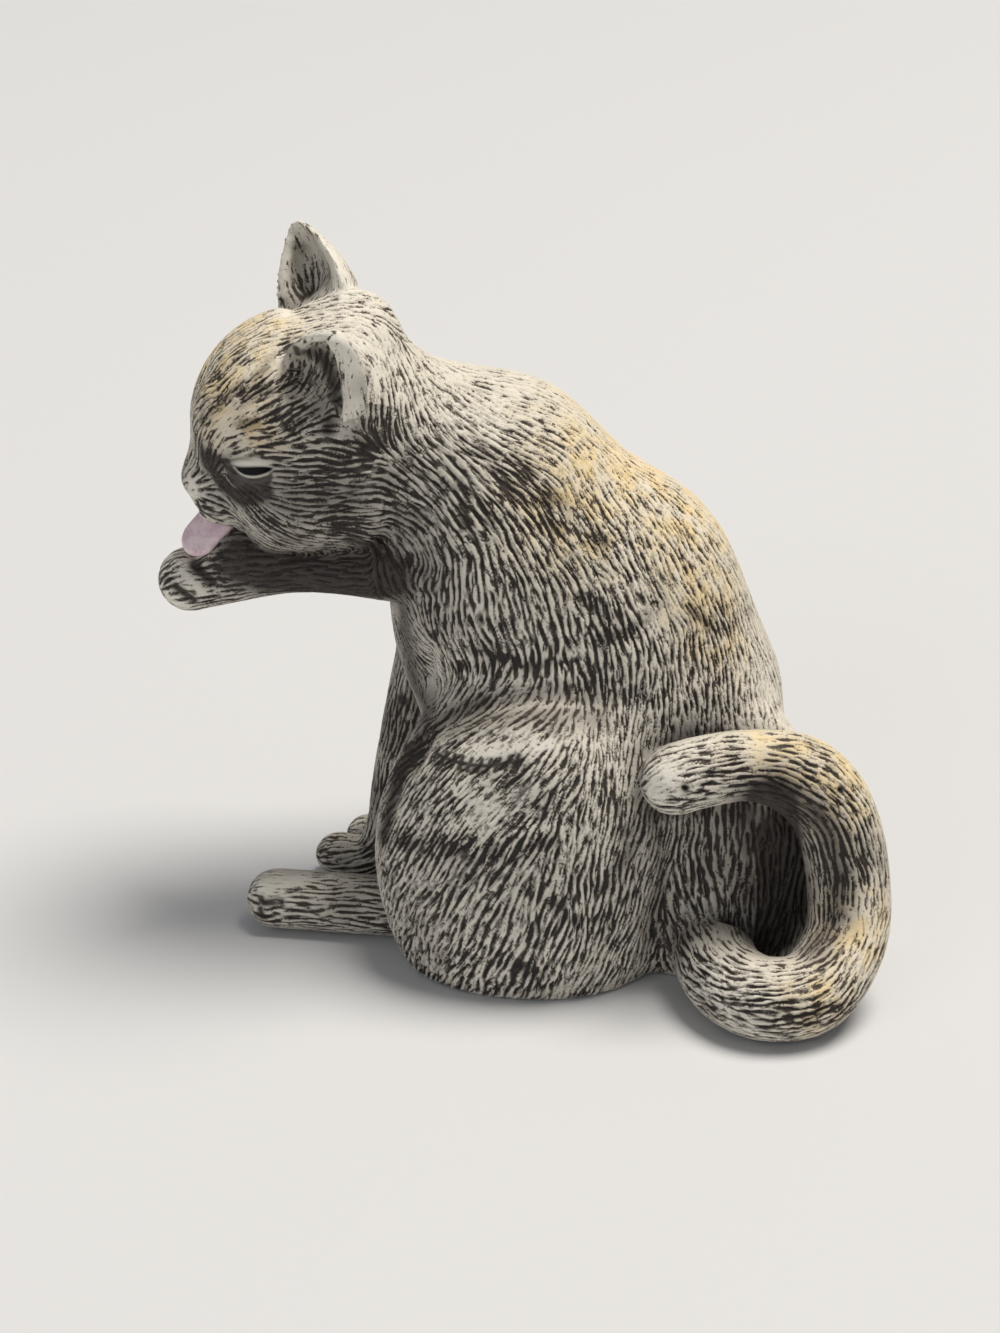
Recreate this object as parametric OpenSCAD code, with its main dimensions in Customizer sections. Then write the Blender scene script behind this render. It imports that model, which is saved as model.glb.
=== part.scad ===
// Seated cat in cast stone, licking a raised forepaw, its tail curled up beside its hip.
// It is parted as a caster parts it: limbs, ears, eyes, tongue and tail are pieces of their own,
// and each is keyed, bedded or slotted into the body or the head.
// Millimetres, +Z up, base at z = 0. The cat faces -X and its left side is -Y.
// The origin is on the flat base, on the middle plane of the body, under the shoulders.

/* [Body] */
// Depth of the body from the chest to the rump
body_depth = 46; // [42:0.5:50]
// Width of the body across both haunches
body_width = 47; // [43:0.5:51]
// Height of the shoulders above the base
body_height = 64; // [60:0.5:68]
// Width of the soft hollows where two swellings of the body meet
body_hollow = 5; // [3.5:0.5:6.5]

/* [Head] */
// Length of the head from the nose to the back of the skull
head_length = 27; // [25:0.5:29]
// Width of the head across the cheeks
head_width = 23; // [21:0.5:25]
// Height of the head from the jaw to the crown
head_height = 21; // [19:0.5:23]
// Width of the soft hollows of the face
face_hollow = 2; // [1.5:0.25:3]
// Turn of the face towards the cat's left
head_turn = 15; // [10:1:20]
// Bow of the face below level
head_bow = 20; // [15:1:25]
// Lean of the head onto the cat's left side
head_lean = 12; // [8:1:16]

/* [Ears] */
// Height of an ear above its seat on the head
ear_height = 8.8; // [8:0.2:10]
// Width of an ear at its seat
ear_width = 9.6; // [8.4:0.2:10.4]
// Depth of an ear from its back to its open front
ear_depth = 6.6; // [5.6:0.2:7.6]
// Thickness of the ear's wall
ear_wall = 1.5; // [1.2:0.1:1.8]

/* [Eyes and tongue] */
// Diameter of an eyeball
eye_diameter = 5; // [4.4:0.2:5.6]
// Length of the tongue from its root in the mouth to its tip
tongue_length = 6.6; // [6:0.2:7.2]
// Width of the tongue
tongue_width = 5.8; // [5.2:0.2:6.4]
// Thickness of the tongue
tongue_thick = 2; // [1.6:0.1:2.4]

/* [Legs and tail] */
// Thickness of the raised forearm
forearm_thick = 6.4; // [5.8:0.2:7]
// Thickness of the raised paw
raised_paw_thick = 7.2; // [6.6:0.2:7.8]
// Thickness of the standing foreleg above its paw
foreleg_thick = 6.8; // [6.2:0.2:7.4]
// Width of the standing forepaw
forepaw_width = 5.8; // [5.2:0.2:6.4]
// Height of the standing forepaw
forepaw_height = 5; // [4.6:0.2:5.6]
// Width of the left hind foot
foot_width = 6.8; // [6.2:0.2:7.4]
// Height of the left hind foot
foot_height = 6.8; // [6.2:0.2:7.4]
// Width of the right hind foot, of which only the toes come out beside the forepaw
tucked_foot_width = 5.2; // [4.6:0.2:5.8]
// Height of the right hind foot
tucked_foot_height = 4.6; // [4.2:0.2:5]
// Thickness of the tail over most of its length
tail_thick = 9; // [8.4:0.2:9.6]
// Thickness of the tail near its tip
tail_tip_thick = 7.6; // [7:0.2:8.2]
// Height of the top of the tail's curl above the base
tail_curl_height = 32; // [29:0.5:35]

/* [Keys and seams] */
// Diameter of the keys of the legs, the left hind foot and the tail
key_diameter = 3.2; // [2.6:0.1:3.6]
// Length of the keys of the legs, the left hind foot and the tail
key_length = 4; // [3:0.25:5]
// Diameter of the keys of the ears and the right hind foot
small_key_diameter = 2.4; // [2:0.1:2.8]
// Length of the keys of the ears and the right hind foot
small_key_length = 2.6; // [2:0.2:3]
// Diameter of the neck's key
neck_key_diameter = 7; // [6:0.5:8]
// Length of the neck's key
neck_key_length = 6; // [5:0.5:7]
// Clearance round each key, eye and tongue, and at the bottom of a bore
key_clearance = 0.1; // [0.05:0.05:0.2]
// Clearance where two pieces lie side by side
side_clearance = 0.15; // [0.1:0.05:0.3]

/* [Hidden] */

// Points round a section of the body, of the head, of a limb or the tail, and of half an ear
body_points = 56;
head_points = 44;
limb_points = 20;
ear_points = 12;
// Sections along the body, the head, a limb, the tail, and on a rounded end
body_sections = 34;
head_sections = 24;
limb_sections = 14;
tail_sections = 40;
end_sections = 5;
// Halvings that find where a ray leaves the casting
halvings = 11;
// Overrun of a key into its own piece, and of a bore past its mouth
overrun = 1;
// Facets of a key
$fn = 32;

body_size = [body_depth, body_width, body_height];
head_size = [head_length, head_width, head_height];

function unit(v) = v / norm(v);
function mix(a, b, share) = a + (b - a) * share;
function spot(shares, size) = [shares.x * size.x, shares.y * size.y, shares.z * size.z];
function spots(table, size) = [for (shares = table) spot(shares, size)];
function forms(table, size) = [for (row = table) spots(row, size)];

// A curve through a list of places or of radii: its value and its way at t
function along(v, t) =
    let (n = len(v) - 1, i = min(floor(t), n - 1), f = t - i,
         a = v[max(i - 1, 0)], b = v[i], c = v[i + 1], d = v[min(i + 2, n)])
    (b * 2 + (c - a) * f + (a * 2 - b * 5 + c * 4 - d) * f ^ 2 + (b * 3 - a - c * 3 + d) * f ^ 3) / 2;
function way_at(v, t) =
    let (n = len(v) - 1, i = min(floor(t), n - 1), f = t - i,
         a = v[max(i - 1, 0)], b = v[i], c = v[i + 1], d = v[min(i + 2, n)])
    unit(c - a + (a * 2 - b * 5 + c * 4 - d) * 2 * f + (b * 3 - a - c * 3 + d) * 3 * f ^ 2);

// How far a point lies outside a form, negative inside it.
// A swelling is an oval, [centre, radii]. Swellings melt into each other over a soft hollow.
function oval(p, form) =
    let (q = p - form[0], r = form[1],
         a = norm([q.x / r.x, q.y / r.y, q.z / r.z]),
         b = norm([q.x / (r.x * r.x), q.y / (r.y * r.y), q.z / (r.z * r.z)]))
    b == 0 ? -min(r) : a * (a - 1) / b;
function cone(p, a, b, ra, rb) =
    let (ab = b - a, t = max(0, min(1, (p - a) * ab / (ab * ab))))
    norm(p - a - ab * t) - mix(ra, rb, t);
function melt(a, b, hollow) = let (h = max(hollow - abs(a - b), 0)) min(a, b) - h * h / hollow / 4;
function melted(p, forms, hollow) =
    [for (i = 0, d = oval(p, forms[0]);
          i < len(forms);
          i = i + 1, d = i < len(forms) ? melt(d, oval(p, forms[i]), hollow) : d) d][len(forms) - 1];

// A seam is [centre, way out]: the carrying piece ends on it, and the carried one starts there.
function beyond(p, seam) = (p - seam[0]) * seam[1];
// A flat seat cut into a form on a seam
function seated(d, p, seam, radius) = max(d, min(beyond(p, seam), radius - norm(p - seam[0])));

// The body's swellings, [centre, radii], in shares of its depth, width and height:
// rump, loins, ribs, shoulders, chest, belly, haunches, shoulder blades, the web behind the tail
// and the root of the tail
body_shares = [
    [[0.36, 0, 0.17], [0.33, 0.30, 0.27]],
    [[0.28, 0, 0.41], [0.405, 0.32, 0.28]],
    [[0.17, 0, 0.62], [0.40, 0.29, 0.24]],
    [[0.01, 0, 0.77], [0.27, 0.26, 0.185]],
    [[-0.06, 0, 0.55], [0.185, 0.19, 0.21]],
    [[0.04, 0, 0.22], [0.215, 0.22, 0.26]],
    [[0.10, -0.28, 0.20], [0.36, 0.235, 0.335]],
    [[0.10, 0.28, 0.20], [0.36, 0.235, 0.335]],
    [[-0.03, -0.19, 0.70], [0.17, 0.12, 0.16]],
    [[-0.03, 0.19, 0.68], [0.17, 0.12, 0.18]],
    [[0.64, -0.17, 0.19], [0.20, 0.13, 0.26]],
    [[0.55, -0.24, 0.085], [0.15, 0.105, 0.12]]
];
body_forms = forms(body_shares, body_size);

// The head's heart, and how the head is turned about it
head_heart_shares = [-0.446, -0.096, 0.93];
head_heart = spot(head_heart_shares, body_size);
function about_x(v, a) = [v.x, v.y * cos(a) - v.z * sin(a), v.y * sin(a) + v.z * cos(a)];
function about_y(v, a) = [v.x * cos(a) + v.z * sin(a), v.y, v.z * cos(a) - v.x * sin(a)];
function about_z(v, a) = [v.x * cos(a) - v.y * sin(a), v.x * sin(a) + v.y * cos(a), v.z];
function turned(v) = about_z(about_y(about_x(v, head_lean), -head_bow), head_turn);
head_x = turned([1, 0, 0]);
head_y = turned([0, 1, 0]);
head_z = turned([0, 0, 1]);
function on_head(shares) = head_heart + turned(spot(shares, head_size));
function to_head(p) = let (q = p - head_heart) [q * head_x, q * head_y, q * head_z];

// The head's swellings, in shares of its length, width and height:
// skull, brow, bridge and tip of the nose, lips, chin, cheeks, ruffs and nape
head_shares = [
    [[0.02, 0, 0.07], [0.42, 0.475, 0.49]],
    [[-0.13, 0, 0.02], [0.28, 0.33, 0.37]],
    [[-0.33, 0, -0.07], [0.19, 0.15, 0.15]],
    [[-0.475, 0, -0.12], [0.065, 0.075, 0.06]],
    [[-0.40, -0.08, -0.24], [0.13, 0.12, 0.12]],
    [[-0.40, 0.08, -0.24], [0.13, 0.12, 0.12]],
    [[-0.33, 0, -0.35], [0.12, 0.13, 0.10]],
    [[-0.11, -0.25, -0.25], [0.26, 0.23, 0.30]],
    [[-0.11, 0.25, -0.25], [0.26, 0.23, 0.30]],
    [[0.12, -0.22, -0.33], [0.34, 0.26, 0.34]],
    [[0.12, 0.22, -0.30], [0.34, 0.24, 0.32]],
    [[0.27, 0.14, 0.30], [0.22, 0.27, 0.22]]
];
head_forms = forms(head_shares, head_size);
muzzle_way = turned([-1, 0, 0]);

// The neck, from between the shoulders to the heart of the head, and the seam across it
neck_start_shares = [-0.02, -0.01, 0.83];
neck_radius_shares = [0.225, 0.205];
neck_seam_share = 0.52;
neck_way_shares = [-0.96, -0.1, 0.22];
neck_start = spot(neck_start_shares, body_size);
neck_radii = body_depth * neck_radius_shares;
neck_seam = [mix(neck_start, head_heart, neck_seam_share), unit(neck_way_shares)];
function neck(p) = cone(p, neck_start, head_heart, neck_radii[0], neck_radii[1]);
function skull(p) = melted(to_head(p), head_forms, face_hollow);
function trunk(p) = melt(melted(p, body_forms, body_hollow), neck(p), body_hollow);
function bust(p) = melt(skull(p), neck(p), body_hollow);
function both(p) = melt(trunk(p), skull(p), body_hollow);

// The ears: the seat of each, its way up and its open side, and its sections:
// height, width and depth, how deep it is hollowed, and how far its front stands forward
left_ear_seat_shares = [0.205, -0.325, 0.39];
right_ear_seat_shares = [0.26, 0.325, 0.385];
left_ear_way_shares = [0.1, -0.56, 0.82];
right_ear_way_shares = [-0.05, 0.56, 0.82];
left_ear_open_shares = [-0.85, -0.45, -0.05];
right_ear_open_shares = [-0.45, -0.8, 0.1];
ear_shares = [
    [0, 1, 1, 0, 0.5],
    [0.12, 0.99, 0.94, 0.4, 0.46],
    [0.3, 0.92, 0.82, 0.9, 0.38],
    [0.5, 0.78, 0.66, 1, 0.28],
    [0.7, 0.58, 0.48, 1, 0.18],
    [0.86, 0.37, 0.33, 0.7, 0.1],
    [0.96, 0.2, 0.22, 0.3, 0.05],
    [1, 0.1, 0.14, 0, 0.03]
];
ear_seat_radius_share = 0.62;
ear_seat_radius = ear_width * ear_seat_radius_share;
left_ear_seam = [on_head(left_ear_seat_shares), unit(turned(left_ear_way_shares))];
right_ear_seam = [on_head(right_ear_seat_shares), unit(turned(right_ear_way_shares))];

// The eyes
left_eye_shares = [-0.205, -0.33, 0.075];
right_eye_shares = [-0.205, 0.33, 0.075];
left_eye_place = on_head(left_eye_shares);
right_eye_place = on_head(right_eye_shares);

// The tongue, a flat blade that hangs from the mouth onto the paw, its face rolled to the left
tongue_root_shares = [-0.428, -0.05, -0.26];
tongue_way_shares = [-0.74, -0.12, -0.66];
tongue_face_shares = [-0.38, -0.62, 0.68];
tongue_root = on_head(tongue_root_shares);
tongue_way = unit(turned(tongue_way_shares));
tongue_side = unit(cross(turned(tongue_face_shares), tongue_way));
tongue_face = cross(tongue_way, tongue_side);

// The raised foreleg: its seam in front of the shoulder, the forearm, the wrist and the paw.
// Its course is [share of the way to the paw, rise in shares of the forearm]
elbow_shares = [-0.25, -0.196, 0.697];
raised_paw_shares = [-0.68, -0.035, -0.645];
raised_course_shares = [[0, 0], [0.25, 0.12], [0.5, 0.14], [0.78, 0.02], [1, 0]];
raised_radius_shares = [0.54, 0.5, 0.47, 0.47];
elbow = spot(elbow_shares, body_size);
raised_paw = on_head(raised_paw_shares);
raised_path = [for (shares = raised_course_shares)
    mix(elbow, raised_paw, shares[0]) + [0, 0, shares[1] * forearm_thick]];
function round_radii(shares, thick) = [for (share = shares) [share, share] * thick];
raised_radii = concat(round_radii(raised_radius_shares, forearm_thick), [[1, 1] * raised_paw_thick / 2]);

// The standing foreleg: its seam under the chest, down to the wrist, and the paw on the base
standing_leg_shares = [
    [-0.19, 0.088, 0.44],
    [-0.225, 0.085, 0.33],
    [-0.262, 0.08, 0.2],
    [-0.285, 0.075, 0.1]
];
standing_paw_shares = [[-0.34, 0.075], [-0.42, 0.075]];
standing_radius_shares = [0.56, 0.52, 0.48, 0.46];
forepaw_radii = [forepaw_width, forepaw_height] / 2;
function on_base(depth, side, height) = [depth, side, height / 2];
standing_path = concat(
    spots(standing_leg_shares, body_size),
    [for (shares = standing_paw_shares)
        on_base(shares.x * body_depth, shares.y * body_width, forepaw_height)]);
standing_radii = concat(round_radii(standing_radius_shares, foreleg_thick), [forepaw_radii, forepaw_radii]);

// The hind feet: the seam of each under its haunch, its middle and its toes.
// The right one lies beside the standing paw
left_foot_shares = [[-0.22, -0.2], [-0.37, -0.2], [-0.525, -0.2]];
left_foot_path = [for (shares = left_foot_shares)
    on_base(shares.x * body_depth, shares.y * body_width, foot_height)];
left_foot_radii = [foot_width, foot_height] / 2;
right_foot_depth_shares = [-0.22, -0.295, -0.37];
right_foot_side = standing_path[4].y + (forepaw_width + tucked_foot_width) / 2 + side_clearance;
right_foot_path = [for (share = right_foot_depth_shares)
    on_base(share * body_depth, right_foot_side, tucked_foot_height)];
right_foot_radii = [tucked_foot_width, tucked_foot_height] / 2;

// The tail: from the rump out onto the base, round behind the cat, up, and over to the hip.
// Its course is [share of the body's depth, of its width, and of the rise from the base to the top]
tail_course_shares = [
    [0.555, -0.35, 0.01],
    [0.60, -0.46, -0.01],
    [0.69, -0.53, -0.01],
    [0.80, -0.50, 0.015],
    [0.865, -0.385, 0.16],
    [0.865, -0.33, 0.41],
    [0.825, -0.31, 0.73],
    [0.745, -0.325, 0.93],
    [0.63, -0.35, 1],
    [0.525, -0.375, 0.98],
    [0.46, -0.39, 0.945]
];
tail_radius = tail_thick / 2;
tail_tip_radius = tail_tip_thick / 2;
tail_rise = tail_curl_height - tail_thick;
tail_path = [for (shares = tail_course_shares)
    [shares.x * body_depth, shares.y * body_width, tail_radius + shares.z * tail_rise]];
tail_tip_places = 3;
tail_radii = [for (i = [0 : len(tail_path) - 1])
    [1, 1] * (i < len(tail_path) - tail_tip_places ? tail_radius : tail_tip_radius)];

function seam_at(path) = [path[0], way_at(path, 0)];
raised_seam = seam_at(raised_path);
standing_seam = seam_at(standing_path);
left_foot_seam = seam_at(left_foot_path);
right_foot_seam = seam_at(right_foot_path);
tail_seam = seam_at(tail_path);

// The forms that the skins lie on
torso_form = function (p) trunk(p);
neck_form = function (p) both(p);
head_form = function (p)
    seated(seated(bust(p), p, left_ear_seam, ear_seat_radius), p, right_ear_seam, ear_seat_radius);

// What a limb keeps clear of: the base and the trunk, and for the raised foreleg the head too
floor_bounds = function (p) max(-p.z, side_clearance - trunk(p));
raised_bounds = function (p) side_clearance - both(p);

// Where a ray leaves a form, between two distances along it
function leaves(form, start, way, near, far, steps = halvings) =
    let (middle = (near + far) / 2)
    steps == 0 ? start + way * middle
    : form(start + way * middle) < 0 ? leaves(form, start, way, middle, far, steps - 1)
    : leaves(form, start, way, near, middle, steps - 1);
// The ways of n rays round a section, square to its own way
function spread(way, n) =
    let (u = unit(cross([0, 1, 0], way)), v = cross(way, u))
    [for (i = [0 : n - 1]) u * cos(360 * i / n) + v * sin(360 * i / n)];
function section(form, start, way, n, far) = [for (ray = spread(way, n)) leaves(form, start, ray, 0, far)];

// A tube's section: an oval [width, height] in radii, unless something stands in its way.
// At a tilt under 90 it is a ring of the rounded end.
function tube_section(bounds, start, way, n, radii, tilt = 90) =
    let (u = unit(cross([0, 1, 0], way)), v = cross(way, u))
    [for (i = [0 : n - 1])
        let (step = (u * radii.y * cos(360 * i / n) + v * radii.x * sin(360 * i / n)) * sin(tilt)
                    + way * max(radii) * cos(tilt))
        bounds(start + step) <= 0 ? start + step : leaves(bounds, start, step, 0, 1)];
function tube_rings(bounds, path, radii, n, sections) =
    let (last = len(path) - 1, end_way = way_at(path, last))
    concat(
        [for (j = [0 : sections - 1]) let (t = last * j / sections)
            tube_section(bounds, along(path, t), way_at(path, t), n, along(radii, t))],
        [for (j = [0 : end_sections - 1])
            let (tilt = 90 - 180 * j / (end_sections * 2 - 1))
            tube_section(bounds, path[last], end_way, n, radii[last], tilt)]);

// A closed skin over rings of points that run round their way
module skin(rings) {
    n = len(rings[0]);
    last = len(rings) - 1;
    middles = [for (ring = [rings[0], rings[last]]) [for (p = ring) 1 / n] * ring];
    top = n * (last + 1);
    polyhedron(
        points = concat([for (ring = rings) each ring], middles),
        faces = concat(
            [for (j = [0 : last - 1]) for (i = [0 : n - 1])
                let (k = (i + 1) % n, a = j * n + i, b = j * n + k,
                     slash = norm(rings[j][i] - rings[j + 1][k]) < norm(rings[j][k] - rings[j + 1][i]))
                each slash ? [[a, a + n, b + n], [a, b + n, b]] : [[a, a + n, b], [b, a + n, b + n]]],
            [for (i = [0 : n - 1]) [top, i, (i + 1) % n]],
            [for (i = [0 : n - 1]) [top + 1, last * n + (i + 1) % n, last * n + i]]),
        convexity = 8);
}
// A round rod on a seam, from a depth behind it to a height in front of it
module on_seam(seam, depth)
    translate(seam[0] - seam[1] * depth)
        rotate([0, acos(seam[1].z), atan2(seam[1].y, seam[1].x)]) children();
module rod(seam, diameter, depth, height) on_seam(seam, depth) cylinder(d = diameter, h = depth + height);
module key(seam, diameter, length) rod(seam, diameter, length, overrun);
module bore(seam, diameter, length)
    rod(seam, diameter + key_clearance * 2, length + key_clearance, overrun);

// The torso's sections rise from the base and bend forward into the neck
spine_start_shares = [0.24, 0, 0];
spine_rise_shares = [0.24, 0, 0.5];
spine_neck_share = 0.34;
spine = [
    spot(spine_start_shares, body_size),
    spot(spine_rise_shares, body_size),
    neck_seam[0] - neck_seam[1] * spine_neck_share * body_depth,
    neck_seam[0]
];
function bend(p, t) =
    p[0] * (1 - t) ^ 3 + p[1] * 3 * t * (1 - t) ^ 2 + p[2] * 3 * t ^ 2 * (1 - t) + p[3] * t ^ 3;
function bend_way(p, t) =
    unit((p[1] - p[0]) * (1 - t) ^ 2 + (p[2] - p[1]) * 2 * t * (1 - t) + (p[3] - p[2]) * t ^ 2);
neck_ring = section(neck_form, neck_seam[0], neck_seam[1], body_points, body_depth / 2);

// The stub of a limb on the body: it ends on the seam, and widens to its root inside the body
stub_root_share = 1.15;
module stub(seam, radius, root_share = 1)
    on_seam(seam, radius * 2) cylinder(r1 = radius * root_share, r2 = radius, h = radius * 2);
foot_stub_share = 0.92;

module torso() {
    rings = [for (j = [0 : body_sections - 1]) let (t = j / body_sections)
        section(torso_form, bend(spine, t), bend_way(spine, t), body_points, body_depth)];
    color("tan") difference() {
        union() {
            skin(concat(rings, [neck_ring]));
            stub(raised_seam, raised_radii[0].x, stub_root_share);
            stub(standing_seam, standing_radii[0].x, stub_root_share);
            stub(left_foot_seam, min(left_foot_radii) * foot_stub_share);
            stub(right_foot_seam, min(right_foot_radii) * foot_stub_share);
            stub(tail_seam, tail_radius * foot_stub_share);
        }
        bore(neck_seam, neck_key_diameter, neck_key_length);
        bore(raised_seam, key_diameter, key_length);
        bore(standing_seam, key_diameter, key_length);
        bore(left_foot_seam, key_diameter, key_length);
        bore(right_foot_seam, small_key_diameter, small_key_length);
        bore(tail_seam, key_diameter, key_length);
    }
}

module head() {
    first_ring = section(neck_form, neck_seam[0], neck_seam[1], head_points, body_depth / 2);
    rings = [for (j = [1 : head_sections]) let (share = j / (head_sections + 0.5))
        [for (p = first_ring)
            let (back = unit(p - head_heart),
                 side = unit(back - muzzle_way * (back * muzzle_way)),
                 angle = acos(back * muzzle_way) * (1 - share))
            leaves(head_form, head_heart, muzzle_way * cos(angle) + side * sin(angle), 0, head_length)]];
    color("wheat") difference() {
        union() {
            skin(concat([first_ring], rings));
            key(neck_seam, neck_key_diameter, neck_key_length);
        }
        for (seam = [left_ear_seam, right_ear_seam])
            bore(seam, small_key_diameter, small_key_length);
        for (place = [left_eye_place, right_eye_place])
            translate(place) sphere(d = eye_diameter + key_clearance * 2);
        tongue_blade(key_clearance);
    }
}

module ear(seam, open_shares) {
    up = seam[1];
    open = unit(turned(open_shares) - up * (turned(open_shares) * up));
    across = cross(up, open);
    inner_share = 1 - 2 * ear_wall / ear_width;
    rings = [for (shares = ear_shares)
        let (half = ear_width / 2 * shares[1], deep = ear_depth * shares[2],
             foot = seam[0] + up * ear_height * shares[0] + open * ear_depth * shares[4])
        concat(
            [for (i = [0 : ear_points]) let (a = 90 - 180 * i / ear_points)
                foot + across * half * sin(a) - open * deep * cos(a)],
            [for (i = [1 : ear_points - 1]) let (a = 180 * i / ear_points - 90)
                foot + (across * half * sin(a) - open * deep * shares[3] * cos(a)) * inner_share])];
    skin(rings);
    key(seam, small_key_diameter, small_key_length);
}
module left_ear() color("wheat") ear(left_ear_seam, left_ear_open_shares);
module right_ear() color("wheat") ear(right_ear_seam, right_ear_open_shares);

module left_eye() color("black") translate(left_eye_place) sphere(d = eye_diameter);
module right_eye() color("black") translate(right_eye_place) sphere(d = eye_diameter);

// The tongue's blade, all round edges, with a flat root. It also cuts its own slot in the head
module tongue_blade(spare) {
    edge = tongue_thick / 2 + spare;
    reach = (tongue_width - tongue_thick) / 2;
    straight = tongue_length - tongue_width / 2;
    multmatrix([for (k = [0 : 2]) [tongue_way[k], tongue_side[k], tongue_face[k], tongue_root[k]]]) {
        translate([0, -reach, -edge]) cube([straight, reach * 2, edge * 2]);
        for (side = [-reach, reach])
            translate([0, side, 0]) rotate([0, 90, 0]) cylinder(r = edge, h = straight);
        translate([straight, 0, 0]) rotate_extrude() {
            translate([0, -edge]) square([reach, edge * 2]);
            intersection() {
                translate([reach, 0]) circle(r = edge);
                translate([0, -edge]) square([reach + edge, edge * 2]);
            }
        }
    }
}
module tongue() color("pink") tongue_blade(0);

module raised_foreleg() {
    color("burlywood") {
        skin(tube_rings(raised_bounds, raised_path, raised_radii, limb_points, limb_sections));
        key(raised_seam, key_diameter, key_length);
    }
}

module standing_foreleg() {
    color("burlywood") {
        skin(tube_rings(floor_bounds, standing_path, standing_radii, limb_points, limb_sections));
        key(standing_seam, key_diameter, key_length);
    }
}

module hind_foot(path, radii)
    skin(tube_rings(floor_bounds, path, [radii, radii, radii], limb_points, limb_sections));
module left_hind_foot() {
    color("burlywood") {
        hind_foot(left_foot_path, left_foot_radii);
        key(left_foot_seam, key_diameter, key_length);
    }
}
module right_hind_foot() {
    color("burlywood") {
        hind_foot(right_foot_path, right_foot_radii);
        key(right_foot_seam, small_key_diameter, small_key_length);
    }
}

module tail() {
    color("wheat") {
        skin(tube_rings(floor_bounds, tail_path, tail_radii, limb_points, tail_sections));
        key(tail_seam, key_diameter, key_length);
    }
}

torso();
head();
left_ear();
right_ear();
left_eye();
right_eye();
tongue();
raised_foreleg();
standing_foreleg();
left_hind_foot();
right_hind_foot();
tail();
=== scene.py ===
import math

import bpy
import numpy as np
from mathutils import Matrix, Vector
from mathutils.bvhtree import BVHTree
from mathutils.kdtree import KDTree


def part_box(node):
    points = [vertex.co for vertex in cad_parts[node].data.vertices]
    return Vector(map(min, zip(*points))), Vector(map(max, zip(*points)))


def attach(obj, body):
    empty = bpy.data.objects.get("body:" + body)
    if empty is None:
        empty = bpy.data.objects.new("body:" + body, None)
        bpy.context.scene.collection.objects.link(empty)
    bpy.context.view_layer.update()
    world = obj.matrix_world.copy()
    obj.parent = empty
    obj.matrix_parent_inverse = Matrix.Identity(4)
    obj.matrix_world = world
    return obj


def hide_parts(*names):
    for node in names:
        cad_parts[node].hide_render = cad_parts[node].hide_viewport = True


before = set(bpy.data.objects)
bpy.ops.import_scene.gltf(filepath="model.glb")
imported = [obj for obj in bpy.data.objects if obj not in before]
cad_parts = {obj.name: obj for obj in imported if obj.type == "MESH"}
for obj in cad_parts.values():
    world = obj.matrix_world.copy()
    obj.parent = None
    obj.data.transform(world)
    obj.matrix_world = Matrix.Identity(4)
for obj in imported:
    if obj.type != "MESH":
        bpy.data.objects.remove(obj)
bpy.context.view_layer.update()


# ---------------------------------------------------------------- The camera
# The figurine was photographed from its left side and a little above, a third of a metre away.
# Lengths are in millimetres, but for the eyeballs, the table and the lamps, which are in metres. A pixel
# is one of the photograph's 1000 by 1333.
photo_size = np.array([1000.0, 1333.0])
shot_target = np.array([0.0, 0.0, 29.5])
shot_azimuth = math.radians(8)
shot_elevation = math.radians(25)
shot_distance = 330.0
pixels_per_mm = 9.0

shot_back = np.array([math.sin(shot_azimuth) * math.cos(shot_elevation),
                      -math.cos(shot_azimuth) * math.cos(shot_elevation),
                      math.sin(shot_elevation)])
shot_right = np.array([math.cos(shot_azimuth), math.sin(shot_azimuth), 0.0])
shot_up = np.cross(shot_back, shot_right)
shot_place = shot_target + shot_back * shot_distance


def standing(axes, place):
    """The matrix of a thing that stands at a place in metres, with its own x, y and z along three axes."""
    return Matrix([[*row, at] for row, at in zip(np.stack(axes, 1), place)] + [[0, 0, 0, 1]])


lens = bpy.data.cameras.new("camera")
lens.sensor_width = 36
lens.lens = pixels_per_mm * shot_distance / photo_size[1] * lens.sensor_width
lens.clip_start = 0.01
camera = bpy.data.objects.new("camera", lens)
camera.matrix_world = standing((shot_right, shot_up, shot_back), shot_place / 1000)
bpy.context.scene.collection.objects.link(camera)
bpy.context.scene.camera = camera


# ---------------------------------------------------------------- The casting
# The cat is cast in stone powder bonded with resin, poured into a soft mould. Body, head, ears, legs
# and tail flow into each other without a seam, so their solids are first run together into one skin.
stone_nodes = ["torso", "head", "left_ear", "right_ear", "raised_foreleg", "standing_foreleg",
               "left_hind_foot", "right_hind_foot", "tail"]
skin_pitch = 0.32
torso_id, head_id = 0, 1
ear_ids = (2, 3)


def triangles_of(node):
    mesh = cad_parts[node].data
    mesh.calc_loop_triangles()
    points = np.empty(len(mesh.vertices) * 3, np.float32)
    mesh.vertices.foreach_get("co", points)
    corners = np.empty(len(mesh.loop_triangles) * 3, np.int32)
    mesh.loop_triangles.foreach_get("vertices", corners)
    return points.reshape(-1, 3).astype(float) * 1000, corners.reshape(-1, 3)


def joined(nodes):
    points, faces, owners, start = [], [], [], 0
    for number, node in enumerate(nodes):
        some, corners = triangles_of(node)
        points.append(some)
        faces.append(corners + start)
        owners.append(np.full(len(corners), number))
        start += len(some)
    return np.concatenate(points), np.concatenate(faces), np.concatenate(owners)


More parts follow.
